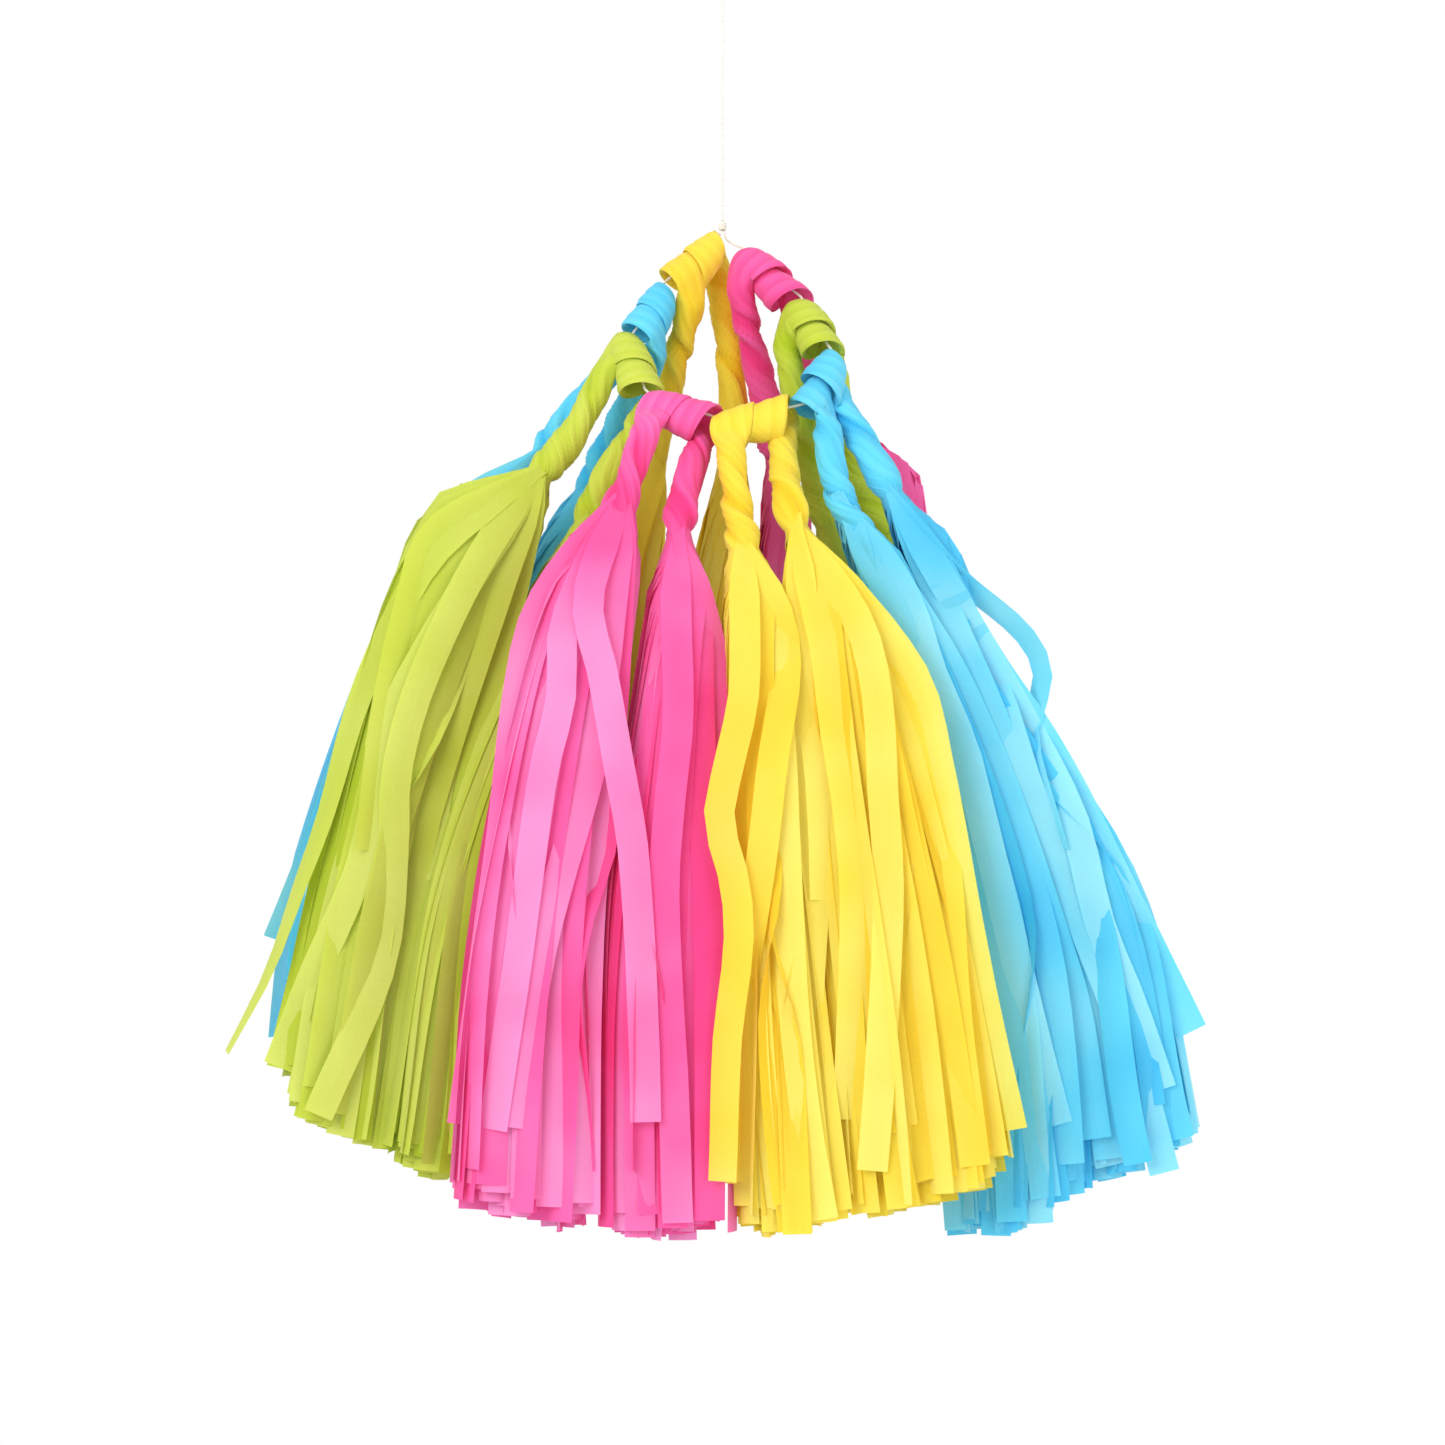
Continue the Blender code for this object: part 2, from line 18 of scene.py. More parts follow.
import bpy
import numpy as np
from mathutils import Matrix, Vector

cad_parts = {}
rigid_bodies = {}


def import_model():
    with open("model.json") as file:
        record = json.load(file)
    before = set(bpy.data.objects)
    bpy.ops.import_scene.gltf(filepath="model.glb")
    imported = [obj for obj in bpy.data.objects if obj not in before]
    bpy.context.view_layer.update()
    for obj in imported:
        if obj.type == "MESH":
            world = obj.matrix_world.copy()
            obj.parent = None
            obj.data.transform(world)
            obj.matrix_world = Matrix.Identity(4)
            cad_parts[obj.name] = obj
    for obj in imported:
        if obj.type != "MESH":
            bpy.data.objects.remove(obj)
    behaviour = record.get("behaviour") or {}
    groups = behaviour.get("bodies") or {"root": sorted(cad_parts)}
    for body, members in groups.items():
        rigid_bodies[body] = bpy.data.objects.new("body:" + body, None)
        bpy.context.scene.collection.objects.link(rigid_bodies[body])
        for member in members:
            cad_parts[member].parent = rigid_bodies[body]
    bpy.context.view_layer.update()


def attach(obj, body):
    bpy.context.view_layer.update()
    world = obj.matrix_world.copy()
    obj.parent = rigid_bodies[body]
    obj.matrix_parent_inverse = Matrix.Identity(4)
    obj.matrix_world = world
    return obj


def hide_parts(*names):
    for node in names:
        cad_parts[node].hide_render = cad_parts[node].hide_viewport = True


LOG = logging.getLogger("tassel_garland")

Colour = tuple[float, float, float]
Place = tuple[float, float, float]
Socket = bpy.types.NodeSocket
Node = bpy.types.Node
Row = np.ndarray

ACROSS = np.array([1.0, 0.0, 0.0])
BACK = np.array([0.0, 1.0, 0.0])
UP = np.array([0.0, 0.0, 1.0])
FRONT = -BACK


class Held(Enum):
    """How a sheet of paper is held."""

    HUNG = "hung"


class Grain(Enum):
    """How the fine creases of a piece of paper run: along a strip, or round a twist."""

    STRIP = (260.0, 7.0, 40.0)
    TWIST = (620.0, 620.0, 70.0)


# Small mathematics on rows of points


def unit(rows: Row) -> Row:
    """Each row scaled to length one."""
    return rows / np.maximum(np.linalg.norm(rows, axis=-1, keepdims=True), 1e-12)


def ease(share: Row | float) -> Row | float:
    """A smooth step from 0 to 1."""
    share = np.clip(share, 0.0, 1.0)
    return share * share * (3 - 2 * share)


def square_to(rows: Row, headings: Row) -> Row:
    """Directions turned to lie square to their headings."""
    return unit(rows - headings * np.sum(rows * headings, axis=-1, keepdims=True))


def walked(points: Row) -> Row:
    """The distance along a line of points, from its start."""
    steps = np.diff(points, axis=-2, prepend=points[..., :1, :])
    return np.cumsum(np.linalg.norm(steps, axis=-1), axis=-1)


def headings_of(points: Row) -> Row:
    """The direction of a line at each of its points."""
    return unit(np.gradient(points, axis=-2))


def hermite(start: Row, leaving: Row, end: Row, arriving: Row, shares: Row) -> Row:
    """Points of the smooth curve between two ends with given slopes.

    Args:
        start: The first end.
        leaving: The slope there.
        end: The second end.
        arriving: The slope there.
        shares: Where to place the points, from 0 to 1, in a row or a column.

    Returns:
        One row for each share.
    """
    t = shares if shares.ndim == 2 else shares[:, None]
    return (
        start * (2 * t**3 - 3 * t**2 + 1)
        + leaving * (t**3 - 2 * t**2 + t)
        + end * (3 * t**2 - 2 * t**3)
        + arriving * (t**3 - t**2)
    )


def through(knots: Row, rows: Row, places: Row) -> Row:
    """Rows on the smooth curve through given ones, which goes on straight past its ends.

    Args:
        knots: Where the given rows stand, in rising order.
        rows: The given rows.
        places: Where rows are wanted.

    Returns:
        One row for each place.
    """
    after = np.minimum(np.arange(len(knots)) + 1, len(knots) - 1)
    before = np.maximum(np.arange(len(knots)) - 1, 0)
    slopes = (rows[after] - rows[before]) / (knots[after] - knots[before])[:, None]
    low = np.clip(np.searchsorted(knots, places, side="right") - 1, 0, len(knots) - 2)
    span = (knots[low + 1] - knots[low])[:, None]
    t = np.clip((places - knots[low])[:, None] / span, 0.0, 1.0)
    curve = hermite(rows[low], slopes[low] * span, rows[low + 1], slopes[low + 1] * span, t)
    past = np.maximum(places - knots[-1], 0)[:, None] * slopes[-1]
    return curve + past + np.minimum(places - knots[0], 0)[:, None] * slopes[0]


def carried(first: Row, headings: Row) -> Row:
    """A direction square to each heading, carried along a line without twist.

    Args:
        first: The direction wanted at the start.
        headings: The line's directions.

    Returns:
        One direction for each heading.
    """
    sides = [square_to(first, headings[0])]
    for heading in headings[1:]:
        sides.append(square_to(sides[-1], heading))
    return np.array(sides)


def lapped(turns: Row, edge: float = 0.84, sharpness: float = 1.4) -> Row:
    """The depth, from 0 to 1, of paper that laps over itself once in each turn.

    Args:
        turns: How many turns round each point lies.
        edge: The share of a turn at which one lap ends.
        sharpness: How sharply the depth falls.

    Returns:
        The depth at each point.
    """
    share = turns - np.floor(turns)
    return np.where(share < edge, 1 - share / edge, (share - edge) / (1 - edge)) ** sharpness


# Helpers for node trees, meshes and pieces


@dataclass
class Graph:
    """A node tree under construction."""

    tree: bpy.types.NodeTree

    @classmethod
    def emptied(cls, owner: bpy.types.Material | bpy.types.World) -> Graph:
        """The tree of a material or a world, with nothing in it.

        Args:
            owner: The material or the world.

        Returns:
            Its graph.
        """
        owner.use_nodes = True
        owner.node_tree.nodes.clear()
        return cls(owner.node_tree)

    def add(self, kind: str, fed: dict[str | int, Any] | None = None, **settings: Any) -> Node:
        """Add a node, set its properties and feed its inputs.

        Args:
            kind: The node's Blender type name.
            fed: For each input, by name or number, a value, an output, or a node whose
                first output feeds it.
            **settings: Properties of the node.

        Returns:
            The new node.
        """
        node = self.tree.nodes.new(kind)
        for name, value in settings.items():
            setattr(node, name, value)
        for place, value in (fed or {}).items():
            if isinstance(value, Node):
                value = value.outputs[0]
            if isinstance(value, Socket):
                self.tree.links.new(value, node.inputs[place])
            else:
                node.inputs[place].default_value = value
        return node

    def maths(self, operation: str, *values: Any) -> Socket:
        """The result of a Math node on sockets or numbers."""
        return self.add("ShaderNodeMath", dict(enumerate(values)), operation=operation).outputs[0]

    def vector(self, operation: str, first: Any, second: Any) -> Socket:
        """The result of a Vector Math node, whose second value is a number for SCALE."""
        fed = {0: first, 3 if operation == "SCALE" else 1: second}
        return self.add("ShaderNodeVectorMath", fed, operation=operation).outputs[0]

    def combined(self, *parts: Any) -> Socket:
        """A vector of three sockets or numbers."""
        return self.add("ShaderNodeCombineXYZ", dict(enumerate(parts))).outputs[0]

    def part_of(self, vector: Any, place: int) -> Socket:
        """One of the three parts of a vector."""
        return self.add("ShaderNodeSeparateXYZ", {0: vector}).outputs[place]

    def noise(self, place: Any, scale: float, detail: float) -> Node:
        """A noise texture at a place, in features for each unit of that place."""
        return self.add("ShaderNodeTexNoise", {"Vector": place, "Scale": scale, "Detail": detail})

    def object_place(self) -> Socket:
        """The place of a point in its object, for a pattern."""
        return self.add("ShaderNodeTexCoord").outputs["Object"]

    def painted(self, name: str) -> Node:
        """A stored attribute of the mesh, read inside a material."""
        return self.add("ShaderNodeAttribute", attribute_name=name)

    def bump(self, height: Node, strength: float, distance: float) -> Node:
        """Small relief from a height, at a strength and over a distance."""
        fed = {"Height": height, "Strength": strength, "Distance": distance}
        return self.add("ShaderNodeBump", fed)

    def ramp(self, share: Any, *stops: tuple[float, Colour]) -> Node:
        """A run of colours.

        Args:
            share: What is looked up in it.
            *stops: Where each colour stands, and the colour.

        Returns:
            The node.
        """
        node = self.add("ShaderNodeValToRGB", {"Fac": share})
        steps = node.color_ramp.elements
        steps.remove(steps[1])
        steps[0].position = stops[0][0]
        steps[0].color = (*stops[0][1], 1.0)
        for place, colour in stops[1:]:
            steps.new(place).color = (*colour, 1.0)
        return node

    def stored(self, name: str, kind: str = "FLOAT") -> Socket:
        """A stored attribute of the geometry, read inside a geometry tree."""
        node = self.add("GeometryNodeInputNamedAttribute", {"Name": name}, data_type=kind)
        return node.outputs["Attribute"]

    def store(self, geometry: Node, name: str, value: Socket, kind: str = "FLOAT") -> Node:
        """Store an attribute on the points of a geometry."""
        fed = {"Name": name, "Geometry": geometry, "Value": value}
        return self.add("GeometryNodeStoreNamedAttribute", fed, data_type=kind, domain="POINT")


SOCKET_KINDS = {float: "NodeSocketFloat", int: "NodeSocketInt", type(None): "NodeSocketMaterial"}


def geometry_tree(name: str, inputs: dict[str, Any]) -> tuple[Graph, bpy.types.NodeOutputs]:
    """An empty geometry tree with named inputs.

    Args:
        name: The tree's name.
        inputs: The default value of each input after the geometry, or None for a material.

    Returns:
        The graph, and its inputs as the nodes see them.
    """
    tree = bpy.data.node_groups.new(name, "GeometryNodeTree")
    tree.is_modifier = True
    face = tree.interface
    face.new_socket(name="Geometry", in_out="INPUT", socket_type="NodeSocketGeometry")
    for label, value in inputs.items():
        socket = face.new_socket(name=label, in_out="INPUT", socket_type=SOCKET_KINDS[type(value)])
        if value is not None:
            socket.default_value = value
    face.new_socket(name="Geometry", in_out="OUTPUT", socket_type="NodeSocketGeometry")
    graph = Graph(tree)
    return graph, graph.add("NodeGroupInput").outputs


def close_tree(graph: Graph, geometry: Node, material: Socket) -> None:
    """End a geometry tree in smooth shading, Realize Instances and Set Material.

    Args:
        graph: The tree.
        geometry: The node whose geometry it ends in.
        material: The material that dresses it.
    """
    soft = graph.add("GeometryNodeSetShadeSmooth", {"Geometry": geometry})
    real = graph.add("GeometryNodeRealizeInstances", {"Geometry": soft})
    dressed = graph.add("GeometryNodeSetMaterial", {"Geometry": real, "Material": material})
    graph.add("NodeGroupOutput", {0: dressed})


def store_on(mesh: bpy.types.Mesh, label: str, values: Row) -> None:
    """Store a number or a direction on each point of a mesh.

    Args:
        mesh: The mesh.
        label: The attribute's name.
        values: The numbers, on two axes, or the directions, on three.
    """
    kind, field_name = ("FLOAT_VECTOR", "vector") if values.ndim == 3 else ("FLOAT", "value")
    layer = mesh.attributes.new(label, kind, "POINT")
    layer.data.foreach_set(field_name, values.astype(np.float32).ravel())


def spine_mesh(name: str, lines: Row, attributes: dict[str, Row]) -> bpy.types.Mesh:
    """A mesh of bare edges along lines, each point with its attributes.

    Args:
        name: The mesh's name.
        lines: Points of shape (lines, points, 3).
        attributes: Values of shape (lines, points) or (lines, points, 3).

    Returns:
        The mesh.
    """
    mesh = bpy.data.meshes.new(name)
    place = np.arange(lines.shape[0] * lines.shape[1]).reshape(lines.shape[:2])
    edges = np.stack([place[:, :-1].ravel(), place[:, 1:].ravel()], axis=1)
    mesh.from_pydata(lines.reshape(-1, 3).tolist(), edges.tolist(), [])
    for label, values in attributes.items():
        store_on(mesh, label, values)
    return mesh


def put_in_scene(name: str, data: bpy.types.ID) -> bpy.types.Object:
    """A new object of the scene.

    Args:
        name: The object's name.
        data: Its mesh, camera or lamp.

    Returns:
        The object.
    """
    made = bpy.data.objects.new(name, data)
    bpy.context.scene.collection.objects.link(made)
    return made


def grow(
    name: str, spines: bpy.types.Mesh, graph: Graph, values: dict[str, Any], *keep: str
) -> bpy.types.Object:
    """Run a geometry tree on spines and keep its result as a plain mesh.

    Args:
        name: The finished piece's name.
        spines: The mesh that the tree starts from.
        graph: The tree.
        values: A value for each named input.
        *keep: The attributes that stay on the finished mesh.

    Returns:
        The finished piece.
    """
    carrier = put_in_scene(f"{name}_spines", spines)
    modifier = carrier.modifiers.new("grow", "NODES")
    modifier.node_group = graph.tree
    for item in graph.tree.interface.items_tree:
        if item.item_type == "SOCKET" and item.in_out == "INPUT" and item.name in values:
            modifier[item.identifier] = values[item.name]
    seen = carrier.evaluated_get(bpy.context.evaluated_depsgraph_get())
    mesh = bpy.data.meshes.new_from_object(seen)
    mesh.name = name
    carrier.modifiers.remove(modifier)
    bpy.data.objects.remove(carrier)
    keep = (*keep, "material_index", "sharp_face")
    for label in [layer.name for layer in mesh.attributes]:
        if not (label in keep or label.startswith(".") or mesh.attributes[label].is_required):
            mesh.attributes.remove(mesh.attributes[label])
    return put_in_scene(name, mesh)


def settle(piece: bpy.types.Object, body: str, node: str) -> None:
    """Say what a finished piece belongs to.

    Args:
        piece: The piece.
        body: The CAD body that it rides on.
        node: The CAD node that it replaces.
    """
    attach(piece, body)
    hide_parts(node)
    LOG.info("%s: %d faces", piece.name, len(piece.data.polygons))


# Finishes


@dataclass(frozen=True)
class TissueFinish:
    """Thin dyed tissue paper, which light passes through.

    Each strip has its own tone, which fades in from the neck at the fade rate. The folds
    of a twist are painted darker, as painted shade in their creases and pleats. Both are
    clouded, and faintly fibrous.
    """

    slot: str
    deep: Colour
    middle: Colour
    light: Colour
    stops: tuple[float, float, float] = (0.12, 0.5, 0.88)
    glow: float = 0.32
    twist_glow: float = 0.5
    roughness: float = 0.75
    sheen: float = 0.15
    specular: float = 0.25
    cloud_scale: float = 16.0
    cloud_share: float = 0.86
    fibre_scale: float = 1100.0
    fibre_share: float = 0.05
    crease_depth: float = 0.0007
    strip_crease: float = 0.30
    twist_crease: float = 0.85
    fade_rate: float = 14.0
    chance_middle: float = 0.45
    chance_share: float = 0.62
    strip_lift: float = 0.07
    # How much darker the painted shade makes a twist's creases and pleats
    fold_shade: float = 0.50
    fold_lift: float = 0.08

    def tone(self, graph: Graph, grain: Grain, own_place: Socket, place: Socket) -> Socket:
        """The paper's colour.

        Args:
            graph: The material's tree.
            grain: Whether it is a strip or a twist.
            own_place: The paper's own coordinates, whose third is a strip's chance number.
            place: Object coordinates.

        Returns:
            The colour.
        """
        if grain is Grain.STRIP:
            away = graph.maths("MULTIPLY", graph.part_of(own_place, 1), self.fade_rate)
            away.node.use_clamp = True
            chance = graph.maths("SUBTRACT", graph.part_of(own_place, 2), self.chance_middle)
            chance = graph.maths("MULTIPLY", chance, away)
            own = graph.maths("MULTIPLY_ADD", chance, self.chance_share, self.strip_lift)
        else:
            # Painted shade: the twist's creases and pleats are drawn darker from their stored shade
            # depth
            crease_shade = graph.painted("paper_fold").outputs["Fac"]
            own = graph.maths("MULTIPLY_ADD", crease_shade, -self.fold_shade, self.fold_lift)
        cloud = graph.noise(place, self.cloud_scale, detail=2.0).outputs["Fac"]
        share = graph.maths("MULTIPLY_ADD", cloud, self.cloud_share, own)
        ramp = graph.ramp(share, *zip(self.stops, (self.deep, self.middle, self.light)))
        fibre = graph.noise(place, self.fibre_scale, detail=3.0).outputs["Fac"]
        level = graph.maths("MULTIPLY_ADD", fibre, 2 * self.fibre_share, 1.0 - self.fibre_share)
        return graph.vector("SCALE", ramp.outputs["Color"], level)

    def material(self, name: str, grain: Grain) -> bpy.types.Material:
        """Build the paper's material.

        Args:
            name: The material's name.
            grain: How its creases run.

        Returns:
            The material.
        """
        material = bpy.data.materials.new(name)
        graph = Graph.emptied(material)
        own = graph.painted("paper_grain").outputs["Vector"]
        tone = self.tone(graph, grain, own, graph.object_place())
        run = graph.vector("MULTIPLY", own, Vector(grain.value))
        creases = graph.noise(run, scale=1.0, detail=2.0)
        twisted = grain is Grain.TWIST
        strength = self.twist_crease if twisted else self.strip_crease
        bump = graph.bump(creases, strength, self.crease_depth)
        paper = graph.add("ShaderNodeBsdfPrincipled", {
            "Base Color": tone,
            "Roughness": self.roughness,
            "Sheen Weight": self.sheen,
            "Specular IOR Level": self.specular,
            "Normal": bump,
        })
        lit_through = graph.add("ShaderNodeBsdfTranslucent", {"Color": tone, "Normal": bump})
        glow = self.glow * self.twist_glow if twisted else self.glow
        mix = graph.add("ShaderNodeMixShader", {0: glow, 1: paper, 2: lit_through})
        graph.add("ShaderNodeOutputMaterial", {"Surface": mix})
        return material


@dataclass(frozen=True)
class YarnFinish:
    """Natural cotton yarn: pale, matte and a little uneven along its length."""

    slot: str = "string"
    pale: Colour = (0.90, 0.87, 0.80)
    shade: Colour = (0.76, 0.71, 0.62)
    pale_from: float = 0.62
    shade_to: float = 0.3
    patch_scale: float = 900.0
    hair_scale: float = 3200.0
    hair_strength: float = 0.4
    hair_depth: float = 0.0002
    roughness: float = 0.9
    fuzz: float = 0.35

    def material(self) -> bpy.types.Material:
        """Build the yarn's material.

        Returns:
            The material.
        """
        material = bpy.data.materials.new("cotton_yarn")
        graph = Graph.emptied(material)
        place = graph.object_place()
        patches = graph.noise(place, self.patch_scale, detail=3.0)
        hairs = graph.noise(place, self.hair_scale, detail=2.0)
        yarn = graph.add("ShaderNodeBsdfPrincipled", {
            "Base Color": graph.ramp(patches, (self.shade_to, self.shade), (self.pale_from, self.pale)),
            "Normal": graph.bump(hairs, self.hair_strength, self.hair_depth),
            "Roughness": self.roughness,
            "Sheen Weight": self.fuzz,
        })
        graph.add("ShaderNodeOutputMaterial", {"Surface": yarn})
        return material


PAPERS = {
    "yellow": TissueFinish(
        "yellow_paper", (0.97, 0.66, 0.020), (1.0, 0.81, 0.075), (1.0, 0.91, 0.20)
    ),
    "blue": TissueFinish("blue_paper", (0.055, 0.56, 0.92), (0.15, 0.74, 0.97), (0.38, 0.89, 1.0)),
    "green": TissueFinish(
        "green_paper", (0.50, 0.63, 0.020), (0.65, 0.74, 0.080), (0.76, 0.82, 0.18)
    ),
    "pink": TissueFinish("pink_paper", (0.95, 0.048, 0.26), (1.0, 0.15, 0.48), (1.0, 0.36, 0.72)),
}


# The string


@dataclass(frozen=True)
class LoopLine:
    """The line of the closed loop that the tassels are threaded on."""

    top: float = -0.1220
    width: float = 0.080
    height: float = 0.081
    lean: float = 0.058
    sway: float = 0.005
    first_share: float = 0.0698
    pitch_share: float = 0.1171
    wrap_share: float = 0.404
    spread: float = 0.0009
    points: int = 401

    def line(self) -> Row:
        """The whole loop, down its left side and up its right.

        Returns:
            Close points of it.
        """
        turn = np.linspace(0.0, math.tau, self.points)
        widest = 4 / 3 * math.sqrt(1 / 3)
        swell = np.sin(turn) * np.sin(turn / 2) / widest
        sink = (1 - np.cos(turn)) / 2
        across = self.sway * sink - self.width / 2 * swell
        return np.stack([across, -self.lean * sink, self.top - self.height * sink], axis=1)

    def length(self) -> float:
        """The length of the whole loop."""
        return walked(self.line())[-1]

    def at(self, distance: float) -> Row:
        """The point at a distance along the loop from its top."""
        way = walked(self.line())
        return np.array([np.interp(distance, way, row) for row in self.line().T])

    def pitch(self) -> float:
        """The distance along the loop from one tassel to the next."""
        return self.length() * self.pitch_share


@dataclass(frozen=True)
class Saddle:
    """Where one tassel sits on the string: its place, and the directions there."""

    place: Row
    along: Row
    out: Row
    up: Row
    pitch: float

    @classmethod
    def on(cls, loop: LoopLine, order: int) -> Saddle:
        """Find a tassel's saddle.

        Args:
            loop: The loop.
            order: The tassel's number along the loop, from 0.

        Returns:
            The saddle.
        """
        distance = loop.length() * loop.first_share + loop.pitch() * order
        turn = loop.pitch() * loop.wrap_share
        along = unit(loop.at(distance + turn) - loop.at(distance - turn))
        up = square_to(UP, along)
        return cls(loop.at(distance), along, np.cross(along, up), up, turn)

    def at(self, along: Row | float, out: Row | float, up: Row | float) -> Row:
        """World points at distances along, out of and above the saddle."""
        steps = [np.atleast_1d(np.asarray(step, float))[:, None] for step in (along, out, up)]
        return self.place + self.along * steps[0] + self.out * steps[1] + self.up * steps[2]


@dataclass
class StringWork:
    """The hanging eye, its knot, the taut string, the loop's knot and the threaded loop."""

    loop: LoopLine
    diameter: float = 0.0012
    plies: int = 3
    ply_turn: float = 0.0042
    eye_height: float = 0.014
    eye_width: float = 0.009
    knot_height: float = 0.0042
    knot_turns: float = 3.0
    knot_radius: float = 0.00125
    knot_waist: float = 0.75
    lead_top: float = -0.0182
    lead_length: float = 0.099
    gap: float = 0.0003
    ply_offset: float = 0.25
    ply_radius: float = 0.26
    ply_sides: int = 8
    crosswise: float = 0.9
    knot_points: int = 90
    eye_points: int = 80
    lead_points: int = 60
    run_points: int = 24

    def __post_init__(self) -> None:
        """Make the yarn's material and the tree that spins it."""
        self.material = YarnFinish().material()
        self.graph = self.yarn_tree()

    def yarn_tree(self) -> Graph:
        """The tree that lays several plies round each other along a spine.

        Returns:
            The graph, whose inputs are Plies, Diameter, Turn and Material.
        """
        inputs = {"Plies": 3, "Diameter": 0.0012, "Turn": 0.004, "Material": None}
        graph, given = geometry_tree("spun_yarn", inputs)
        curve = graph.add("GeometryNodeMeshToCurve", {"Mesh": given["Geometry"]})
        fed = {"Geometry": curve, "Amount": given["Plies"]}
        copies = graph.add("GeometryNodeDuplicateElements", fed, domain="SPLINE")
        turned = graph.maths("DIVIDE", graph.stored("way"), given["Turn"])
        part = graph.maths("DIVIDE", copies.outputs["Duplicate Index"], given["Plies"])
        angle = graph.maths("MULTIPLY", graph.maths("ADD", turned, part), math.tau)
        radius = graph.maths("MULTIPLY", given["Diameter"], self.ply_offset)
        steps = []
        for label, wave in (("side", "COSINE"), ("rise", "SINE")):
            reach = graph.maths("MULTIPLY", radius, graph.maths(wave, angle))
            steps.append(graph.vector("SCALE", graph.stored(label, "FLOAT_VECTOR"), reach))
        fed = {"Geometry": copies, "Offset": graph.vector("ADD", *steps)}
        moved = graph.add("GeometryNodeSetPosition", fed)
        fed = {
            "Resolution": self.ply_sides,
            "Radius": graph.maths("MULTIPLY", given["Diameter"], self.ply_radius),
        }
        ring = graph.add("GeometryNodeCurvePrimitiveCircle", fed)
        fed = {"Curve": moved, "Profile Curve": ring, "Fill Caps": True}
        tube = graph.add("GeometryNodeCurveToMesh", fed)
        close_tree(graph, tube, given["Material"])
        return graph

    def yarn(self, name: str, points: Row, body: str, node: str) -> bpy.types.Object:
        """Spin a run of yarn along points.

        Args:
            name: The piece's name.
            points: The yarn's centreline.
            body: The CAD body that it rides on.
            node: The CAD node that it replaces.

        Returns:
            The piece.
        """
        heading = headings_of(points)
        side = carried(ACROSS if abs(heading[0][0]) < self.crosswise else BACK, heading)
        lines = {"way": walked(points), "side": side, "rise": np.cross(heading, side)}
        spines = spine_mesh(name, points[None], {label: line[None] for label, line in lines.items()})
        piece = grow(name, spines, self.graph, {
            "Plies": self.plies,
            "Diameter": self.diameter,
            "Turn": self.ply_turn,
            "Material": self.material,
        })
        settle(piece, body, node)
        return piece

    def knot_line(self, base: float) -> Row:
        """The centreline of a small coiled knot above a height.

        Args:
            base: The height of its foot.

        Returns:
            The points, which end inside the knot.
        """
        share = np.linspace(0.0, 1.0, self.knot_points)
        turn = math.tau * self.knot_turns * share
        bulge = self.knot_waist + (1 - self.knot_waist) * np.sin(math.pi * share)
        radius = self.knot_radius * bulge
        height = base + self.diameter / 2 + (self.knot_height - self.diameter) * share
        return np.stack([radius * np.cos(turn), radius * np.sin(turn), height], axis=1)

    def eye_line(self) -> Row:
        """The centreline of the hanging eye.

        Returns:
            The points, from the knot up round the hook and back.
        """
        share = np.linspace(0.0, 1.0, self.eye_points)
        turn = math.tau * share
        side = -np.sin(turn) * np.sin(turn / 2) * self.eye_width / 2
        foot = self.loop.spread * (2 * share - 1)
        rise = self.eye_height * (1 - np.cos(turn)) / 2
        base = self.diameter / 2 - self.eye_height
        return np.stack([foot + side, np.zeros_like(share), base + rise], axis=1)

    def loop_line(self, count: int) -> Row:
        """The threaded string's centreline, straight in each tassel and bent between them.

        Args:
            count: How many tassels it threads.

        Returns:
            The points.
        """
        top = UP * self.loop.top
        side = ACROSS * self.loop.spread
        ends = [(top - side, -UP)]
        for order in range(count):
            saddle = Saddle.on(self.loop, order)
            for reach in (-saddle.pitch, saddle.pitch):
                ends.append((saddle.at(reach, 0, 0)[0], saddle.along))
        ends.append((top + side, UP))
        shares = np.linspace(0.0, 1.0, self.run_points)[:-1]
        runs = []
        for (here, heading), (there, arriving) in zip(ends, ends[1:]):
            reach = float(np.linalg.norm(there - here))
            runs.append(hermite(here, heading * reach, there, arriving * reach, shares))
        return np.concatenate([*runs, ends[-1][0][None]])

    def build(self, tassels: int) -> None:
        """Make all the string.

        Args:
            tassels: How many tassels the loop threads.
        """
        base = self.lead_top - self.lead_length
        eye = self.yarn("eye_yarn", self.eye_line(), "hanger", "hanging_eye")
        knot = self.knot_line(self.lead_top + self.gap)
        eye_knot = self.yarn("eye_knot_yarn", knot, "hanger", "eye_knot")
        heights = np.linspace(base, self.lead_top, self.lead_points)
        plumb = np.zeros_like(heights)
        line = np.stack([plumb, plumb, heights], axis=1)
        lead = self.yarn("lead_yarn", line, "bunch", "hanging_string")
        knot = self.knot_line(base - self.gap - self.knot_height)
        self.yarn("loop_knot_yarn", knot, "bunch", "loop_knot")
        self.yarn("threaded_yarn", self.loop_line(tassels), "bunch", "threaded_loop")


# Twisted paper


@dataclass(frozen=True)
class Wrap:
    """How one tassel's flat band lies over the string."""

    slide: float = 0.0
    pitch: float = 0.0142
    half_width: float = 0.0078
    rim: float = 0.0015


@dataclass(frozen=True)
class Ripple:
    """A wave along a line: its height, and how fast it turns, in radians for each metre."""

    height: float
    rate: float

    def at(self, way: Row, start: float) -> Row:
        """The wave at distances along the line."""
        return self.height * np.sin(way * self.rate + start)


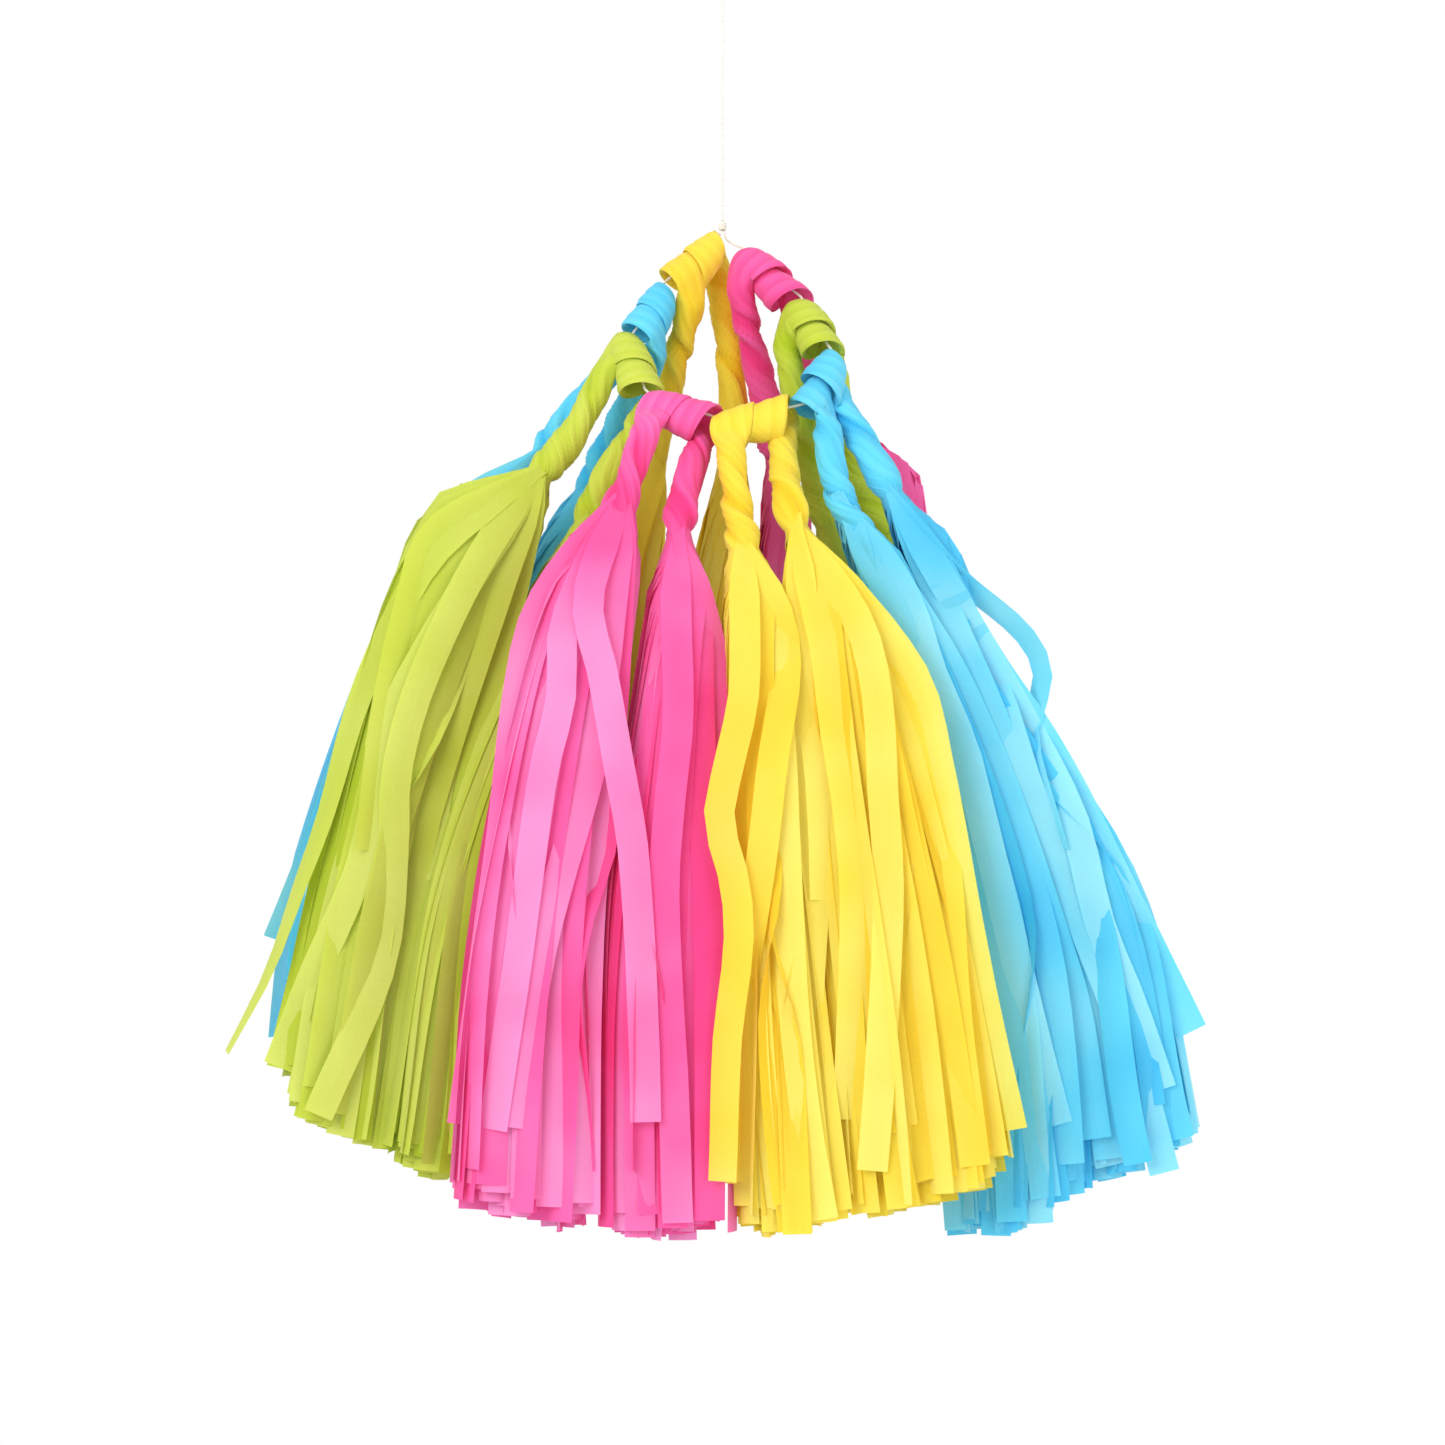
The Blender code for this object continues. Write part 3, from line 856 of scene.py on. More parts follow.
@dataclass
class TwistedHead:
    """The twisted middle of one tassel, wound one and a half times over the string.

    It is a flat, pleated band over the string, with a raised rim at its lower edge. Each leg
    turns into a ridged rope, whose ridges are counted round it from the largest kind to the
    smallest. The rim is at the other edge where the string climbs past the given slope.
    """

    saddle: Saddle
    outer: Fringe
    inner: Fringe
    wrap: Wrap
    seed: int
    turns: float = 1.5
    tunnel: float = 0.0046
    climb: float = 0.0013
    string_radius: float = 0.0006
    band_half_thickness: float = 0.0017
    band_roundness: float = 0.9
    rim_changes_at: float = 0.2
    pleats: float = 1.4
    pleat_drift: float = 26.0
    pleat_wave: Ripple = Ripple(0.35, 70.0)
    pleat_depth: float = 0.0004
    # How much painted shade the band's pleats add to the colour
    pleat_shade: float = 0.35
    rope_radius: float = 0.0063
    swelling: float = 0.28
    flare: float = 0.10
    flare_reach: float = 0.014
    twist_length: float = 0.046
    slow_drift: Ripple = Ripple(0.6, 95.0)
    quick_drift: Ripple = Ripple(0.3, 210.0)
    ridge_counts: tuple[int, int, int] = (2, 7, 13)
    ridge: float = 0.0020
    ridge_least: float = 0.75
    ridge_swell: Ripple = Ripple(0.45, 120.0)
    small_ridge: float = 0.0006
    crease_share: float = 0.4
    loosen: float = 0.012
    pull: float = 0.35
    tuck: float = 0.012
    taper: float = 0.010
    closing: float = 0.97
    sides: int = 60
    wrap_points: int = 64
    leg_points: int = 60
    tuck_points: int = 12

    def wrap_line(self) -> Row:
        """The centreline of the paper's wrap over the string.

        Returns:
            The points.
        """
        share = np.linspace(0.0, 1.0, self.wrap_points)
        turn = math.tau * self.turns * share
        radius = self.tunnel + self.band_half_thickness + self.climb * share
        drop = self.tunnel - self.string_radius
        along = self.wrap.pitch * self.turns * (share - 0.5) + self.wrap.slide
        return self.saddle.at(along, radius * np.cos(turn), radius * np.sin(turn) - drop)

    def leg_line(self, end: Row, leaving: Row, fringe: Fringe) -> Row:
        """A leg from the wrap to the fringe's neck, and on into the fringe.

        Args:
            end: The wrap's end.
            leaving: The wrap's heading there.
            fringe: The fringe that the leg carries.

        Returns:
            The leg's centreline, without the wrap's own end.
        """
        neck = fringe.neck()
        reach = float(np.linalg.norm(neck - end))
        shares = np.linspace(0.0, 1.0, self.leg_points)[1:]
        run = hermite(end, leaving * reach * self.pull, neck, fringe.heading() * reach, shares)
        steps = np.linspace(0.0, self.tuck, self.tuck_points)[1:, None]
        return np.concatenate([run, neck + fringe.heading() * steps])

    def line(self) -> tuple[Row, Row]:
        """The whole centreline, from one neck over the string to the other.

        Returns:
            The points, and how far each of them is down a leg from the wrap.
        """
        wrap = self.wrap_line()
        rising = self.leg_line(wrap[0], unit(wrap[0] - wrap[1]), self.outer)
        falling = self.leg_line(wrap[-1], unit(wrap[-1] - wrap[-2]), self.inner)
        points = np.concatenate([rising[::-1], wrap, falling])
        way = walked(points)
        first, last = way[len(rising)], way[len(rising) + len(wrap) - 1]
        return points, np.maximum(np.maximum(first - way, way - last), 0.0)

    def sides_of(self, heading: Row, held: Row) -> Row:
        """Directions along the string over the wrap, and carried on down the legs.

        Args:
            heading: The centreline's directions.
            held: Whether each point is in the wrap.

        Returns:
            One direction for each point.
        """
        sides = square_to(np.broadcast_to(self.saddle.along, heading.shape), heading)
        first, last = np.flatnonzero(held)[[0, -1]]
        sides[last:] = carried(sides[last], heading[last:])
        sides[: first + 1] = carried(sides[first], heading[first::-1])[::-1]
        return sides

    def rings(self) -> tuple[Row, Row, Row]:
        """The rings of the twisted paper, its own coordinates and the painted shade of its folds.

        Returns:
            Points and grain of shape (rings, sides, 3), and painted shade of shape (rings, sides).
        """
        chance = np.random.default_rng(self.seed)
        points, down = self.line()
        heading = headings_of(points)
        back = self.sides_of(heading, down <= 0)
        thick = np.cross(heading, back)
        way = walked(points)[:, None]
        down = down[:, None]
        loose = ease(down / self.loosen)
        angle = np.linspace(0.0, math.tau, self.sides, endpoint=False)[None]
        drift = self.slow_drift.at(way, chance.uniform(0, 6)) + self.quick_drift.at(way, 2.0)
        turned = angle + math.tau * way / self.twist_length + drift
        phases = chance.uniform(0, 1, 4)
        deepest = self.ridge * (self.ridge_least + self.ridge_swell.at(way, chance.uniform(0, 6)))
        depths = (deepest, self.small_ridge, self.crease_share * self.small_ridge)
        groove = 0.0
        for count, depth, phase in zip(self.ridge_counts, depths, phases):
            groove = groove + depth * lapped(turned / math.tau * count + phase)
        length = down.max() - self.tuck
        swollen = 1 + self.swelling * ease(down / length) ** 2
        swollen = swollen + self.flare * np.exp(-down / self.flare_reach)
        rope = self.rope_radius * swollen - groove
        level, edge = np.cos(angle), np.sin(angle)
        wave = self.pleat_wave.at(way, 5 * phases[3])
        pleat = lapped(self.pleats * level + way * self.pleat_drift + wave)
        flat_x = self.wrap.half_width * np.sign(level) * np.abs(level) ** self.band_roundness
        flat_y = self.band_half_thickness * edge - np.sign(edge) * self.pleat_depth * pleat
        lower = -1.0 if self.saddle.along[2] > self.rim_changes_at else 1.0
        flat_y = flat_y - lower * self.wrap.rim * level
        past = np.clip((down - length + self.taper) / (self.tuck + self.taper), 0, 1)
        close = 1 - self.closing * ease(past)
        across = (flat_x * (1 - loose) + rope * level * loose) * close
        out = (flat_y * (1 - loose) + rope * edge * loose) * close
        rows = points[:, None] + back[:, None] * across[..., None] + thick[:, None] * out[..., None]
        tall = np.broadcast_to(way, turned.shape)
        radius = self.rope_radius
        grain = np.stack([radius * np.cos(turned), radius * np.sin(turned), tall], axis=2)
        # Painted shade: the depth of the rope's grooves and of the band's pleats, which darkens their
        # colour
        crease_shade = groove / (self.ridge + self.small_ridge) * loose
        return rows, grain, crease_shade + self.pleat_shade * pleat * (1 - loose)

    def build(self, name: str, colour: str, material: bpy.types.Material) -> None:
        """Make the twisted paper.

        Args:
            name: The tassel's name, which is its CAD body's.
            colour: The paper's colour; not used.
            material: The paper's material.
        """
        rows, grain, crease_shade = self.rings()
        place = np.arange(crease_shade.size).reshape(crease_shade.shape)
        after = np.roll(place, -1, axis=1)
        quads = np.stack([place[:-1], after[:-1], after[1:], place[1:]], axis=-1).reshape(-1, 4)
        faces = [*quads.tolist(), place[0][::-1].tolist(), place[-1].tolist()]
        mesh = bpy.data.meshes.new(f"{name}_twisted_paper")
        mesh.from_pydata(rows.reshape(-1, 3).tolist(), [], faces)
        store_on(mesh, "paper_grain", grain)
        # The painted shade of the creases and pleats, read by the twist's material
        store_on(mesh, "paper_fold", crease_shade)
        mesh.shade_smooth()
        mesh.materials.append(material)
        piece = put_in_scene(mesh.name, mesh)
        settle(piece, name, f"{name}_twist")


# Fringes


@dataclass(frozen=True)
class Picture:
    """The photograph's frame, and where its camera stands."""

    side: int = 1445
    centre: Place = (0.0, -0.05, -0.332)
    frame_side: float = 0.607
    distance: float = 2.5

    def seen(self, pixels: Row, depth: float) -> tuple[Row, Row]:
        """Where pixels lie on an upright plane across the view.

        Args:
            pixels: Rows of a pixel's place from the left and from the top.
            depth: The plane's Y.

        Returns:
            The X and the Z of each.
        """
        away = (depth - self.centre[1] + self.distance) / self.distance
        steps = (pixels - self.side / 2) * self.frame_side / self.side * away
        return self.centre[0] + steps[:, 0], self.centre[2] - steps[:, 1]


@dataclass(frozen=True)
class Shown:
    """A strip that the picture shows singly.

    It lies a lead in front of the fringe's face. Its course is in the picture's pixels. Its
    turns say how far it is edge-on at its top and at its tip, in degrees. Past the fringe's
    side it falls back no further than its least depth, a share of the fringe's half depth.
    """

    lead: float
    tone: float
    course: tuple[tuple[int, int], ...]
    turns: tuple[float, float] = (0, 0)
    least_depth: float = 0.32


@dataclass(frozen=True)
class Level:
    """The middle of a fringe at one level, and how wide and deep it is there.

    The halves that are not given are a neck's.
    """

    drop: float
    across: float
    depth: float
    half_width: float = 0.0085
    half_depth: float = 0.0085


def levels(*rows: tuple[float, ...]) -> tuple[Level, ...]:
    """A fringe's levels, from the neck to the hem, each given in millimetres."""
    return tuple(Level(*(number / 1000 for number in row)) for row in rows)


@dataclass
class Fringe:
    """One end of a tassel: the strips that the sheets are cut to, from neck to tips.

    The sways are those of a lock of strips and of one strip, sideways and then in depth.
    Uncurl is a mean and a spread, and the other pairs of numbers are ranges.
    """

    side: str
    levels: tuple[Level, ...]
    shown: tuple[Shown, ...]
    seed: int
    paleness: float = 0.0
    loop_top: float = LoopLine.top
    sheets: int = 3
    strips_a_sheet: int = 39
    strip_width: float = 0.0127
    spare: float = 1.02
    ragged: float = 0.012
    short_share: float = 0.12
    shortest: float = 0.3
    shortfall: float = 0.050
    points: int = 24
    crowding: float = 1.25
    segments: int = 3
    fine_steps: int = 150
    middle_steps: int = 60
    past_hem: float = 1.12
    root: float = 0.007
    core: float = 0.97
    spacing: float = 0.50
    unevenness: float = 0.10
    swirl: float = -1.8
    swirl_reach: float = 0.014
    inset: float = 0.0032
    least: float = 0.0012
    lock_strips: int = 4
    sways: tuple[tuple[float, float], ...] = ((0.0032, 0.0022), (0.00192, 0.00176))
    bends: tuple[float, float] = (0.35, 1.1)
    sway_end: float = 1.1
    sway_power: float = 1.4
    stray_share: float = 0.05
    stray_ring: float = 0.75
    stray: float = 0.008
    farthest: float = 0.008
    side_share: float = 0.6
    shingle: float = 0.20
    tilt: float = 0.10
    drift: float = 0.26
    lock_drift: float = 0.26
    rolled_share: float = 0.06
    roll_from: tuple[float, float] = (0.2, 0.6)
    roll_reach: float = 0.35
    tightest: float = 0.0035
    hollow: float = 0.8
    uncurl: tuple[float, float] = (0.1, 0.30)
    least_curl: float = 0.05
    shown_curl: float = -0.35
    shown_turn_from: float = 0.1
    lead_reach: float = 0.15
    gather: float = 0.35
    gather_reach: float = 0.030
    told_apart: float = 0.24
    crumple: float = 0.0006

    def rows(self) -> Row:
        """X, Y, Z, half width and half depth at each level."""
        return np.array([
            [at.across, at.depth, self.loop_top - at.drop, at.half_width, at.half_depth]
            for at in self.levels
        ])

    def neck(self) -> Row:
        """Where the leg ends and the strips begin."""
        return self.rows()[0, :3]

    def heading(self) -> Row:
        """The direction in which the leg enters the fringe."""
        rows = self.rows()
        return unit(rows[1, :3] - rows[0, :3])

    def share_at(self, height: Row) -> Row:
        """How far a height is down the fringe, from 0 at the neck to 1 at the hem."""
        top, hem = self.levels[0].drop, self.levels[-1].drop
        return (self.loop_top - top - height) / (hem - top)

    def profile(self, shares: Row) -> Row:
        """X, Y, Z, half width and half depth at shares of the fringe's drop."""
        rows = self.rows()
        return through(self.share_at(rows[:, 2]), rows, shares)

    def faces(self, profile: Row) -> tuple[Row, Row, Row]:
        """The middle, and the half width and half depth at which the outer strips hang."""
        half = np.maximum(profile[..., 3:] - self.inset, self.least)
        return profile[..., :3], half[..., 0], half[..., 1]

    def strip_count(self) -> int:
        """How many strips this end of the tassel has."""
        return self.sheets * self.strips_a_sheet

    def drop(self) -> float:
        """How far the hem is below the neck."""
        return self.levels[-1].drop - self.levels[0].drop

    def strip_length(self) -> float:
        """The length of a strip, from the neck to its tip."""
        middle = self.profile(np.linspace(0.0, 1.0, self.middle_steps))[:, :3]
        return float(walked(middle)[-1]) * self.spare

    def grown(self, s: Row) -> Row:
        """How much of a strip's wander has come about, at shares of the drop."""
        return np.minimum(s, self.sway_end) ** self.sway_power

    def wander(self, size: float, group: Row, s: Row, chance: np.random.Generator) -> Row:
        """A smooth wander down the fringe, the same for each group of strips.

        Args:
            size: About how far it goes.
            group: The number of each strip's group.
            s: Shares of the drop.
            chance: The source of what varies.

        Returns:
            The wander of each strip at each share.
        """
        groups = (int(group.max()) + 1, 1)
        reach = chance.normal(0, size, groups)
        bends = chance.uniform(*self.bends, groups)
        start = chance.uniform(0, math.tau, groups)
        made = reach * (np.sin(start + math.tau * bends * s) - np.sin(start)) * self.grown(s)
        return made[group]

    def tilts(self, lock: Row, s: Row, chance: np.random.Generator) -> Row:
        """How far each strip is turned edge-on. A few roll over on their way down.

        Args:
            lock: The number of each strip's lock.
            s: Shares of the drop.
            chance: The source of what varies.

        Returns:
            The turn of each strip at each share.
        """
        each = (len(lock), 1)
        locks = (int(lock.max()) + 1, 1)
        tilt = self.shingle + chance.normal(0, self.tilt, each)
        tilt = tilt + chance.normal(0, self.drift, each) * s
        tilt = tilt + chance.normal(0, self.lock_drift, locks)[lock] * s
        rolled = (chance.random(each) < self.rolled_share) * math.pi * chance.choice([-1, 1], each)
        return tilt + rolled * ease((s - chance.uniform(*self.roll_from, each)) / self.roll_reach)

    def hanging(self, shares: Row, profile: Row, chance: np.random.Generator) -> dict[str, Row]:
        """The strips that hang by chance, from the outermost ring to the core.

        Args:
            shares: Where each strip's points stand down the fringe.
            profile: The fringe's rows there.
            chance: The source of what varies.

        Returns:
            Arrays by name, whose first axis is the strip and second is the point along it.
        """
        count = self.strip_count() - len(self.shown)
        each = (count, 1)
        strip = np.arange(count)
        lock = strip // self.lock_strips
        ring = np.sqrt(1 - self.core * (strip + 0.5) / count)[:, None]
        turn = (chance.uniform(0, math.tau) + np.cumsum(self.spacing / ring[:, 0]))[:, None]
        turn = turn + chance.normal(0, self.unevenness, each)
        middle, wide, deep = self.faces(profile[None])
        s = np.maximum(shares, 0)[None]
        angle = turn + self.swirl * np.exp(-shares[None] * self.drop() / self.swirl_reach)
        line = (
            middle
            + ACROSS * (wide * ring * np.cos(angle))[..., None]
            + FRONT * (deep * ring * np.sin(angle))[..., None]
        )
        sideways, inward = (
            self.wander(lock_sway, lock, s, chance) + self.wander(strip_sway, strip, s, chance)
            for lock_sway, strip_sway in self.sways
        )
        strays = (chance.random(each) < self.stray_share) & (ring > self.stray_ring)
        sideways = sideways + strays * chance.normal(0, self.stray, each) * self.grown(s)
        sideways = self.farthest * np.tanh(sideways / self.farthest)
        line = line + ACROSS * sideways[..., None] + FRONT * inward[..., None]
        to_side = self.side_share * np.cos(angle) / wide
        outward = ACROSS * to_side[..., None] + FRONT * (np.sin(angle) / deep)[..., None]
        tilt = self.tilts(lock, s, chance)
        round_it = np.maximum(ring * np.sqrt(wide * deep), self.tightest)
        curl = -self.hollow * self.strip_width / round_it
        curl = curl + chance.normal(*self.uncurl, each) * s
        curl = np.where(np.abs(curl) < self.least_curl, -self.least_curl, curl)
        short = chance.random(count) < self.short_share
        short = short * chance.uniform(self.shortest, 1.0, count)
        length = self.root + self.strip_length() - chance.uniform(0, self.ragged, count)
        tone = np.clip(chance.random(each) + self.paleness, 0, 1)
        return {
            "spine": line,
            "outward": outward,
            "tilt": tilt,
            "curl": curl,
            "tone": np.broadcast_to(tone, curl.shape),
            "length": length - short * self.shortfall,
        }

    def singled(self, shares: Row, profile: Row) -> dict[str, Row]:
        """The strips that the picture shows singly, each on its own course.

        Args:
            shares: Where each strip's points stand down the fringe.
            profile: The fringe's rows there.

        Returns:
            Arrays by name, as for the strips that hang by chance.
        """
        middle, wide, deep = self.faces(profile)
        depth = float(np.mean(middle[:, 1] - deep))
        made = []
        for strip in self.shown:
            across, height = Picture().seen(np.array(strip.course, float), depth)
            knots = np.concatenate([[0.0], self.share_at(height)])
            course = np.concatenate([[self.levels[0].across], across])
            x = through(knots, course[:, None], shares)[:, 0]
            inside = np.clip(1 - ((x - middle[:, 0]) / wide) ** 2, strip.least_depth**2, 1.0)
            y = middle[:, 1] - deep * np.sqrt(inside) - strip.lead * ease(shares / self.lead_reach)
            line = np.stack([x, y, middle[:, 2]], axis=1)
            turns = np.interp(shares, [self.shown_turn_from, knots[-1]], strip.turns)
            made.append({
                "spine": line,
                "outward": np.broadcast_to(FRONT, line.shape),
                "tilt": np.radians(turns),
                "curl": np.full(len(shares), self.shown_curl),
                "tone": np.full(len(shares), strip.tone),
                "length": np.interp(knots[-1], shares, walked(line)),
            })
        return {name: np.array([strip[name] for strip in made]) for name in made[0]}

    def cut(self, made: dict[str, Row]) -> dict[str, Row]:
        """The strips cut to their lengths, with few points, closer together near the neck.

        Args:
            made: Arrays of fine steps by name, with each strip's length.

        Returns:
            The arrays at the few points, and the way along each strip.
        """
        share = np.linspace(0.0, 1.0, self.points) ** self.crowding
        way = walked(made["spine"])
        length = np.minimum(made.pop("length"), way[:, -1])
        result = {name: [] for name in made}
        for strip, reach in enumerate(length):
            for name, rows in made.items():
                row = rows[strip].reshape(self.fine_steps, -1)
                columns = [np.interp(share * reach, way[strip], column) for column in row.T]
                result[name].append(np.squeeze(np.stack(columns, axis=1)))
        result = {name: np.array(rows) for name, rows in result.items()}
        result["along"] = share[None] * length[:, None]
        return result

    def ribbons(self) -> dict[str, Row]:
        """The centreline, directions, curl and tone of each strip.

        Returns:
            Arrays by name, whose first two axes are the strip and the point along it.
        """
        shares = np.linspace(-self.root / self.drop(), self.past_hem, self.fine_steps)
        profile = self.profile(shares)
        made = self.hanging(shares, profile, np.random.default_rng(self.seed))
        if self.shown:
            singled = self.singled(shares, profile)
            made = {name: np.concatenate([singled[name], made[name]]) for name in made}
        plain = float(np.mean(made["tone"]))
        made["tone"] = plain + (made["tone"] - plain) * ease(shares / self.told_apart)
        tilt = made.pop("tilt")[..., None]
        heading = headings_of(made["spine"])
        outward = square_to(made.pop("outward"), heading)
        made["flat"] = np.cross(outward, heading) * np.cos(tilt) + outward * np.sin(tilt)
        made["lift"] = np.cross(heading, made["flat"])
        opened = ease((shares * self.drop() + self.root) / self.gather_reach)
        made["open"] = np.broadcast_to(self.gather + (1 - self.gather) * opened, tilt.shape[:2])
        return self.cut(made)

    def build(self, name: str, colour: str, graph: Graph, material: bpy.types.Material) -> None:
        """Make the fringe.

        Args:
            name: The tassel's name, which is its CAD body's.
            colour: The paper's colour; not used.
            graph: The tree that turns spines into strips.
            material: The paper's material.
        """
        ribbons = self.ribbons()
        label = f"{name}_strips_{self.side}"
        sizes = {
            "Strip Width": self.strip_width,
            "Segments": self.segments + 1,
            "Crumple": self.crumple,
            "Material": material,
        }
        spines = spine_mesh(label, ribbons["spine"], ribbons)
        piece = grow(label, spines, graph, sizes, "position", "paper_grain")
        settle(piece, name, f"{name}_fringe_{self.side}")


def strip_tree() -> Graph:
    """The tree that turns each spine into one curled strip of paper.

    Returns:
        The graph, whose inputs are Strip Width, Segments, Crumple and Material.
    """
    inputs = {"Strip Width": 0.0127, "Segments": 5, "Crumple": 0.0005, "Material": None}
    graph, given = geometry_tree("paper_strips", inputs)
    curve = graph.add("GeometryNodeMeshToCurve", {"Mesh": given["Geometry"]})
    ends = {"Start": (-0.5, 0.0, 0.0), "End": (0.5, 0.0, 0.0)}
    line = graph.add("GeometryNodeCurvePrimitiveLine", ends)
    parts = graph.add("GeometryNodeResampleCurve", {"Curve": line, "Count": given["Segments"]})
    marked = graph.store(parts, "share", graph.part_of(graph.add("GeometryNodeInputPosition"), 0))
    skin = graph.add("GeometryNodeCurveToMesh", {"Curve": curve, "Profile Curve": marked})

    share, curl, tone, along = [graph.stored(name) for name in ("share", "curl", "tone", "along")]
    spine, flat, lift = [graph.stored(name, "FLOAT_VECTOR") for name in ("spine", "flat", "lift")]
    width = graph.maths("MULTIPLY", given["Strip Width"], graph.stored("open"))
    bent = graph.maths("MULTIPLY", share, curl)
    radius = graph.maths("DIVIDE", width, curl)
    across = graph.maths("MULTIPLY", radius, graph.maths("SINE", bent))
    half = graph.maths("MULTIPLY", curl, 0.5)
    mean = graph.maths("DIVIDE", graph.maths("SINE", half), half)
    above = graph.maths("SUBTRACT", mean, graph.maths("COSINE", bent))
    lifted = graph.vector("SCALE", lift, graph.maths("MULTIPLY", radius, above))
    place = graph.vector("ADD", graph.vector("SCALE", flat, across), lifted)

    # The crumple's noise changes slowly across a strip, faster along it, and from strip to strip
    rates = ((share, 0.25), (along, 26.0), (tone, 90.0))
    apart = graph.combined(*(graph.maths("MULTIPLY", part, rate) for part, rate in rates))
    rough = graph.noise(apart, scale=1.0, detail=2.0).outputs["Color"]
    level = graph.vector("SUBTRACT", rough, Vector((0.5, 0.5, 0.5)))
    shaken = graph.vector("SCALE", level, given["Crumple"])
    place = graph.vector("ADD", graph.vector("ADD", spine, place), shaken)
    moved = graph.add("GeometryNodeSetPosition", {"Geometry": skin, "Position": place})
    grain = graph.combined(graph.maths("MULTIPLY", share, width), along, tone)
    kept = graph.store(moved, "paper_grain", grain, "FLOAT_VECTOR")
    close_tree(graph, kept, given["Material"])
    return graph


# The garland

LEVELS: dict[str, tuple[Level, ...]] = {
    "yellow_back_right": levels(
        (94.8, 4.2, 5), (116.8, 2.5, 6, 10.5, 12), (263.8, -15, 7, 20, 15), (396.1, -19, 8, 22, 16),
    ),
    "yellow_back_left": levels(
        (91.7, -30, 3), (116.8, -36, 4, 12.5, 12), (263.8, -58.5, 6, 21, 15), (389.8, -68, 7, 23, 16),
    ),
    "blue_back_outer": levels(
        (96, -77.9, -10), (129, -106, -8, 22, 13), (263.8, -158.5, -2, 20, 15),
        (362.5, -168.5, 0, 23, 15),
    ),
    "blue_back_inner": levels(
        (106.7, -55, -8), (135.7, -65.5, -8, 14.5, 12), (268, -112, -2, 20.5, 15),
        (387.7, -117, 0, 22.5, 15),
    ),
    "green_left_outer": levels(
        (104.5, -76.5, -52), (119.5, -98, -53, 27.5, 16), (263.8, -146.5, -50, 20.8, 17),
        (379.3, -168.5, -46, 23.5, 18),
    ),
    "green_left_inner": levels(
        (128, -58, -54), (155.4, -68, -51, 13.5, 11), (276.4, -109, -50, 17.5, 14),
        (396.1, -125, -50, 19.5, 14),
    ),
    "pink_front_left": levels(
        (115.2, -40.9, -79), (155.4, -56, -85, 20, 12), (284.8, -77, -88, 26.5, 16),
        (412.9, -83, -89, 30, 17),
    ),
    "pink_front_right": levels(
        (133.1, -18.1, -82), (167.2, -17.5, -84, 16, 14), (284.8, -23.5, -87, 25, 17),
        (420, -24.5, -88, 26, 17),
    ),
    "yellow_front_left": levels(
        (134.8, 8.4, -84), (163.8, 13.5, -86, 15, 13), (276.4, 20.5, -89, 18.5, 16),
        (417.1, 30, -90, 26.5, 17),
    ),
    "yellow_front_right": levels(
        (130.2, 31.1, -82), (163.8, 45.5, -85, 17, 14), (284.8, 70, -89, 32.5, 16),
        (406.6, 86, -90, 38, 17),
    ),
    "blue_front_left": levels(
        (121.6, 51.4, -73), (153.7, 69.5, -66, 14, 13), (284.8, 114, -60, 28, 16),
        (415.8, 125, -58, 32, 17),
    ),
    "blue_front_right": levels(
        (115.2, 71.4, -63), (144.1, 88.5, -60, 14, 13), (183, 96.5, -57, 14, 15),
        (276.4, 151.5, -52, 23.5, 17), (391.9, 176, -48, 28, 17),
    ),
    "green_right_outer": levels(
        (119.5, 63, -22), (152.5, 78, -20, 14, 12), (280.6, 123, -13, 18.5, 13),
        (383.5, 146, -10, 21.5, 14),
    ),
    "green_right_inner": levels(
        (128, 44.9, -30), (158.8, 53, -27, 13, 11), (284.8, 83, -18, 18.5, 13),
        (402.4, 100, -15, 22, 14),
    ),
    "pink_back_outer": levels(
        (85.3, 54, 8), (108, 70, 10, 17.5, 13), (263.8, 73.5, 17, 19, 14), (391.9, 72, 19, 21, 14),
    ),
    "pink_back_inner": levels(
        (100.3, 23.9, 4), (129.4, 27, 6, 12.5, 12), (268, 29, 10, 18.5, 14),
        (400.3, 27.5, 12, 21, 15),
    ),
}

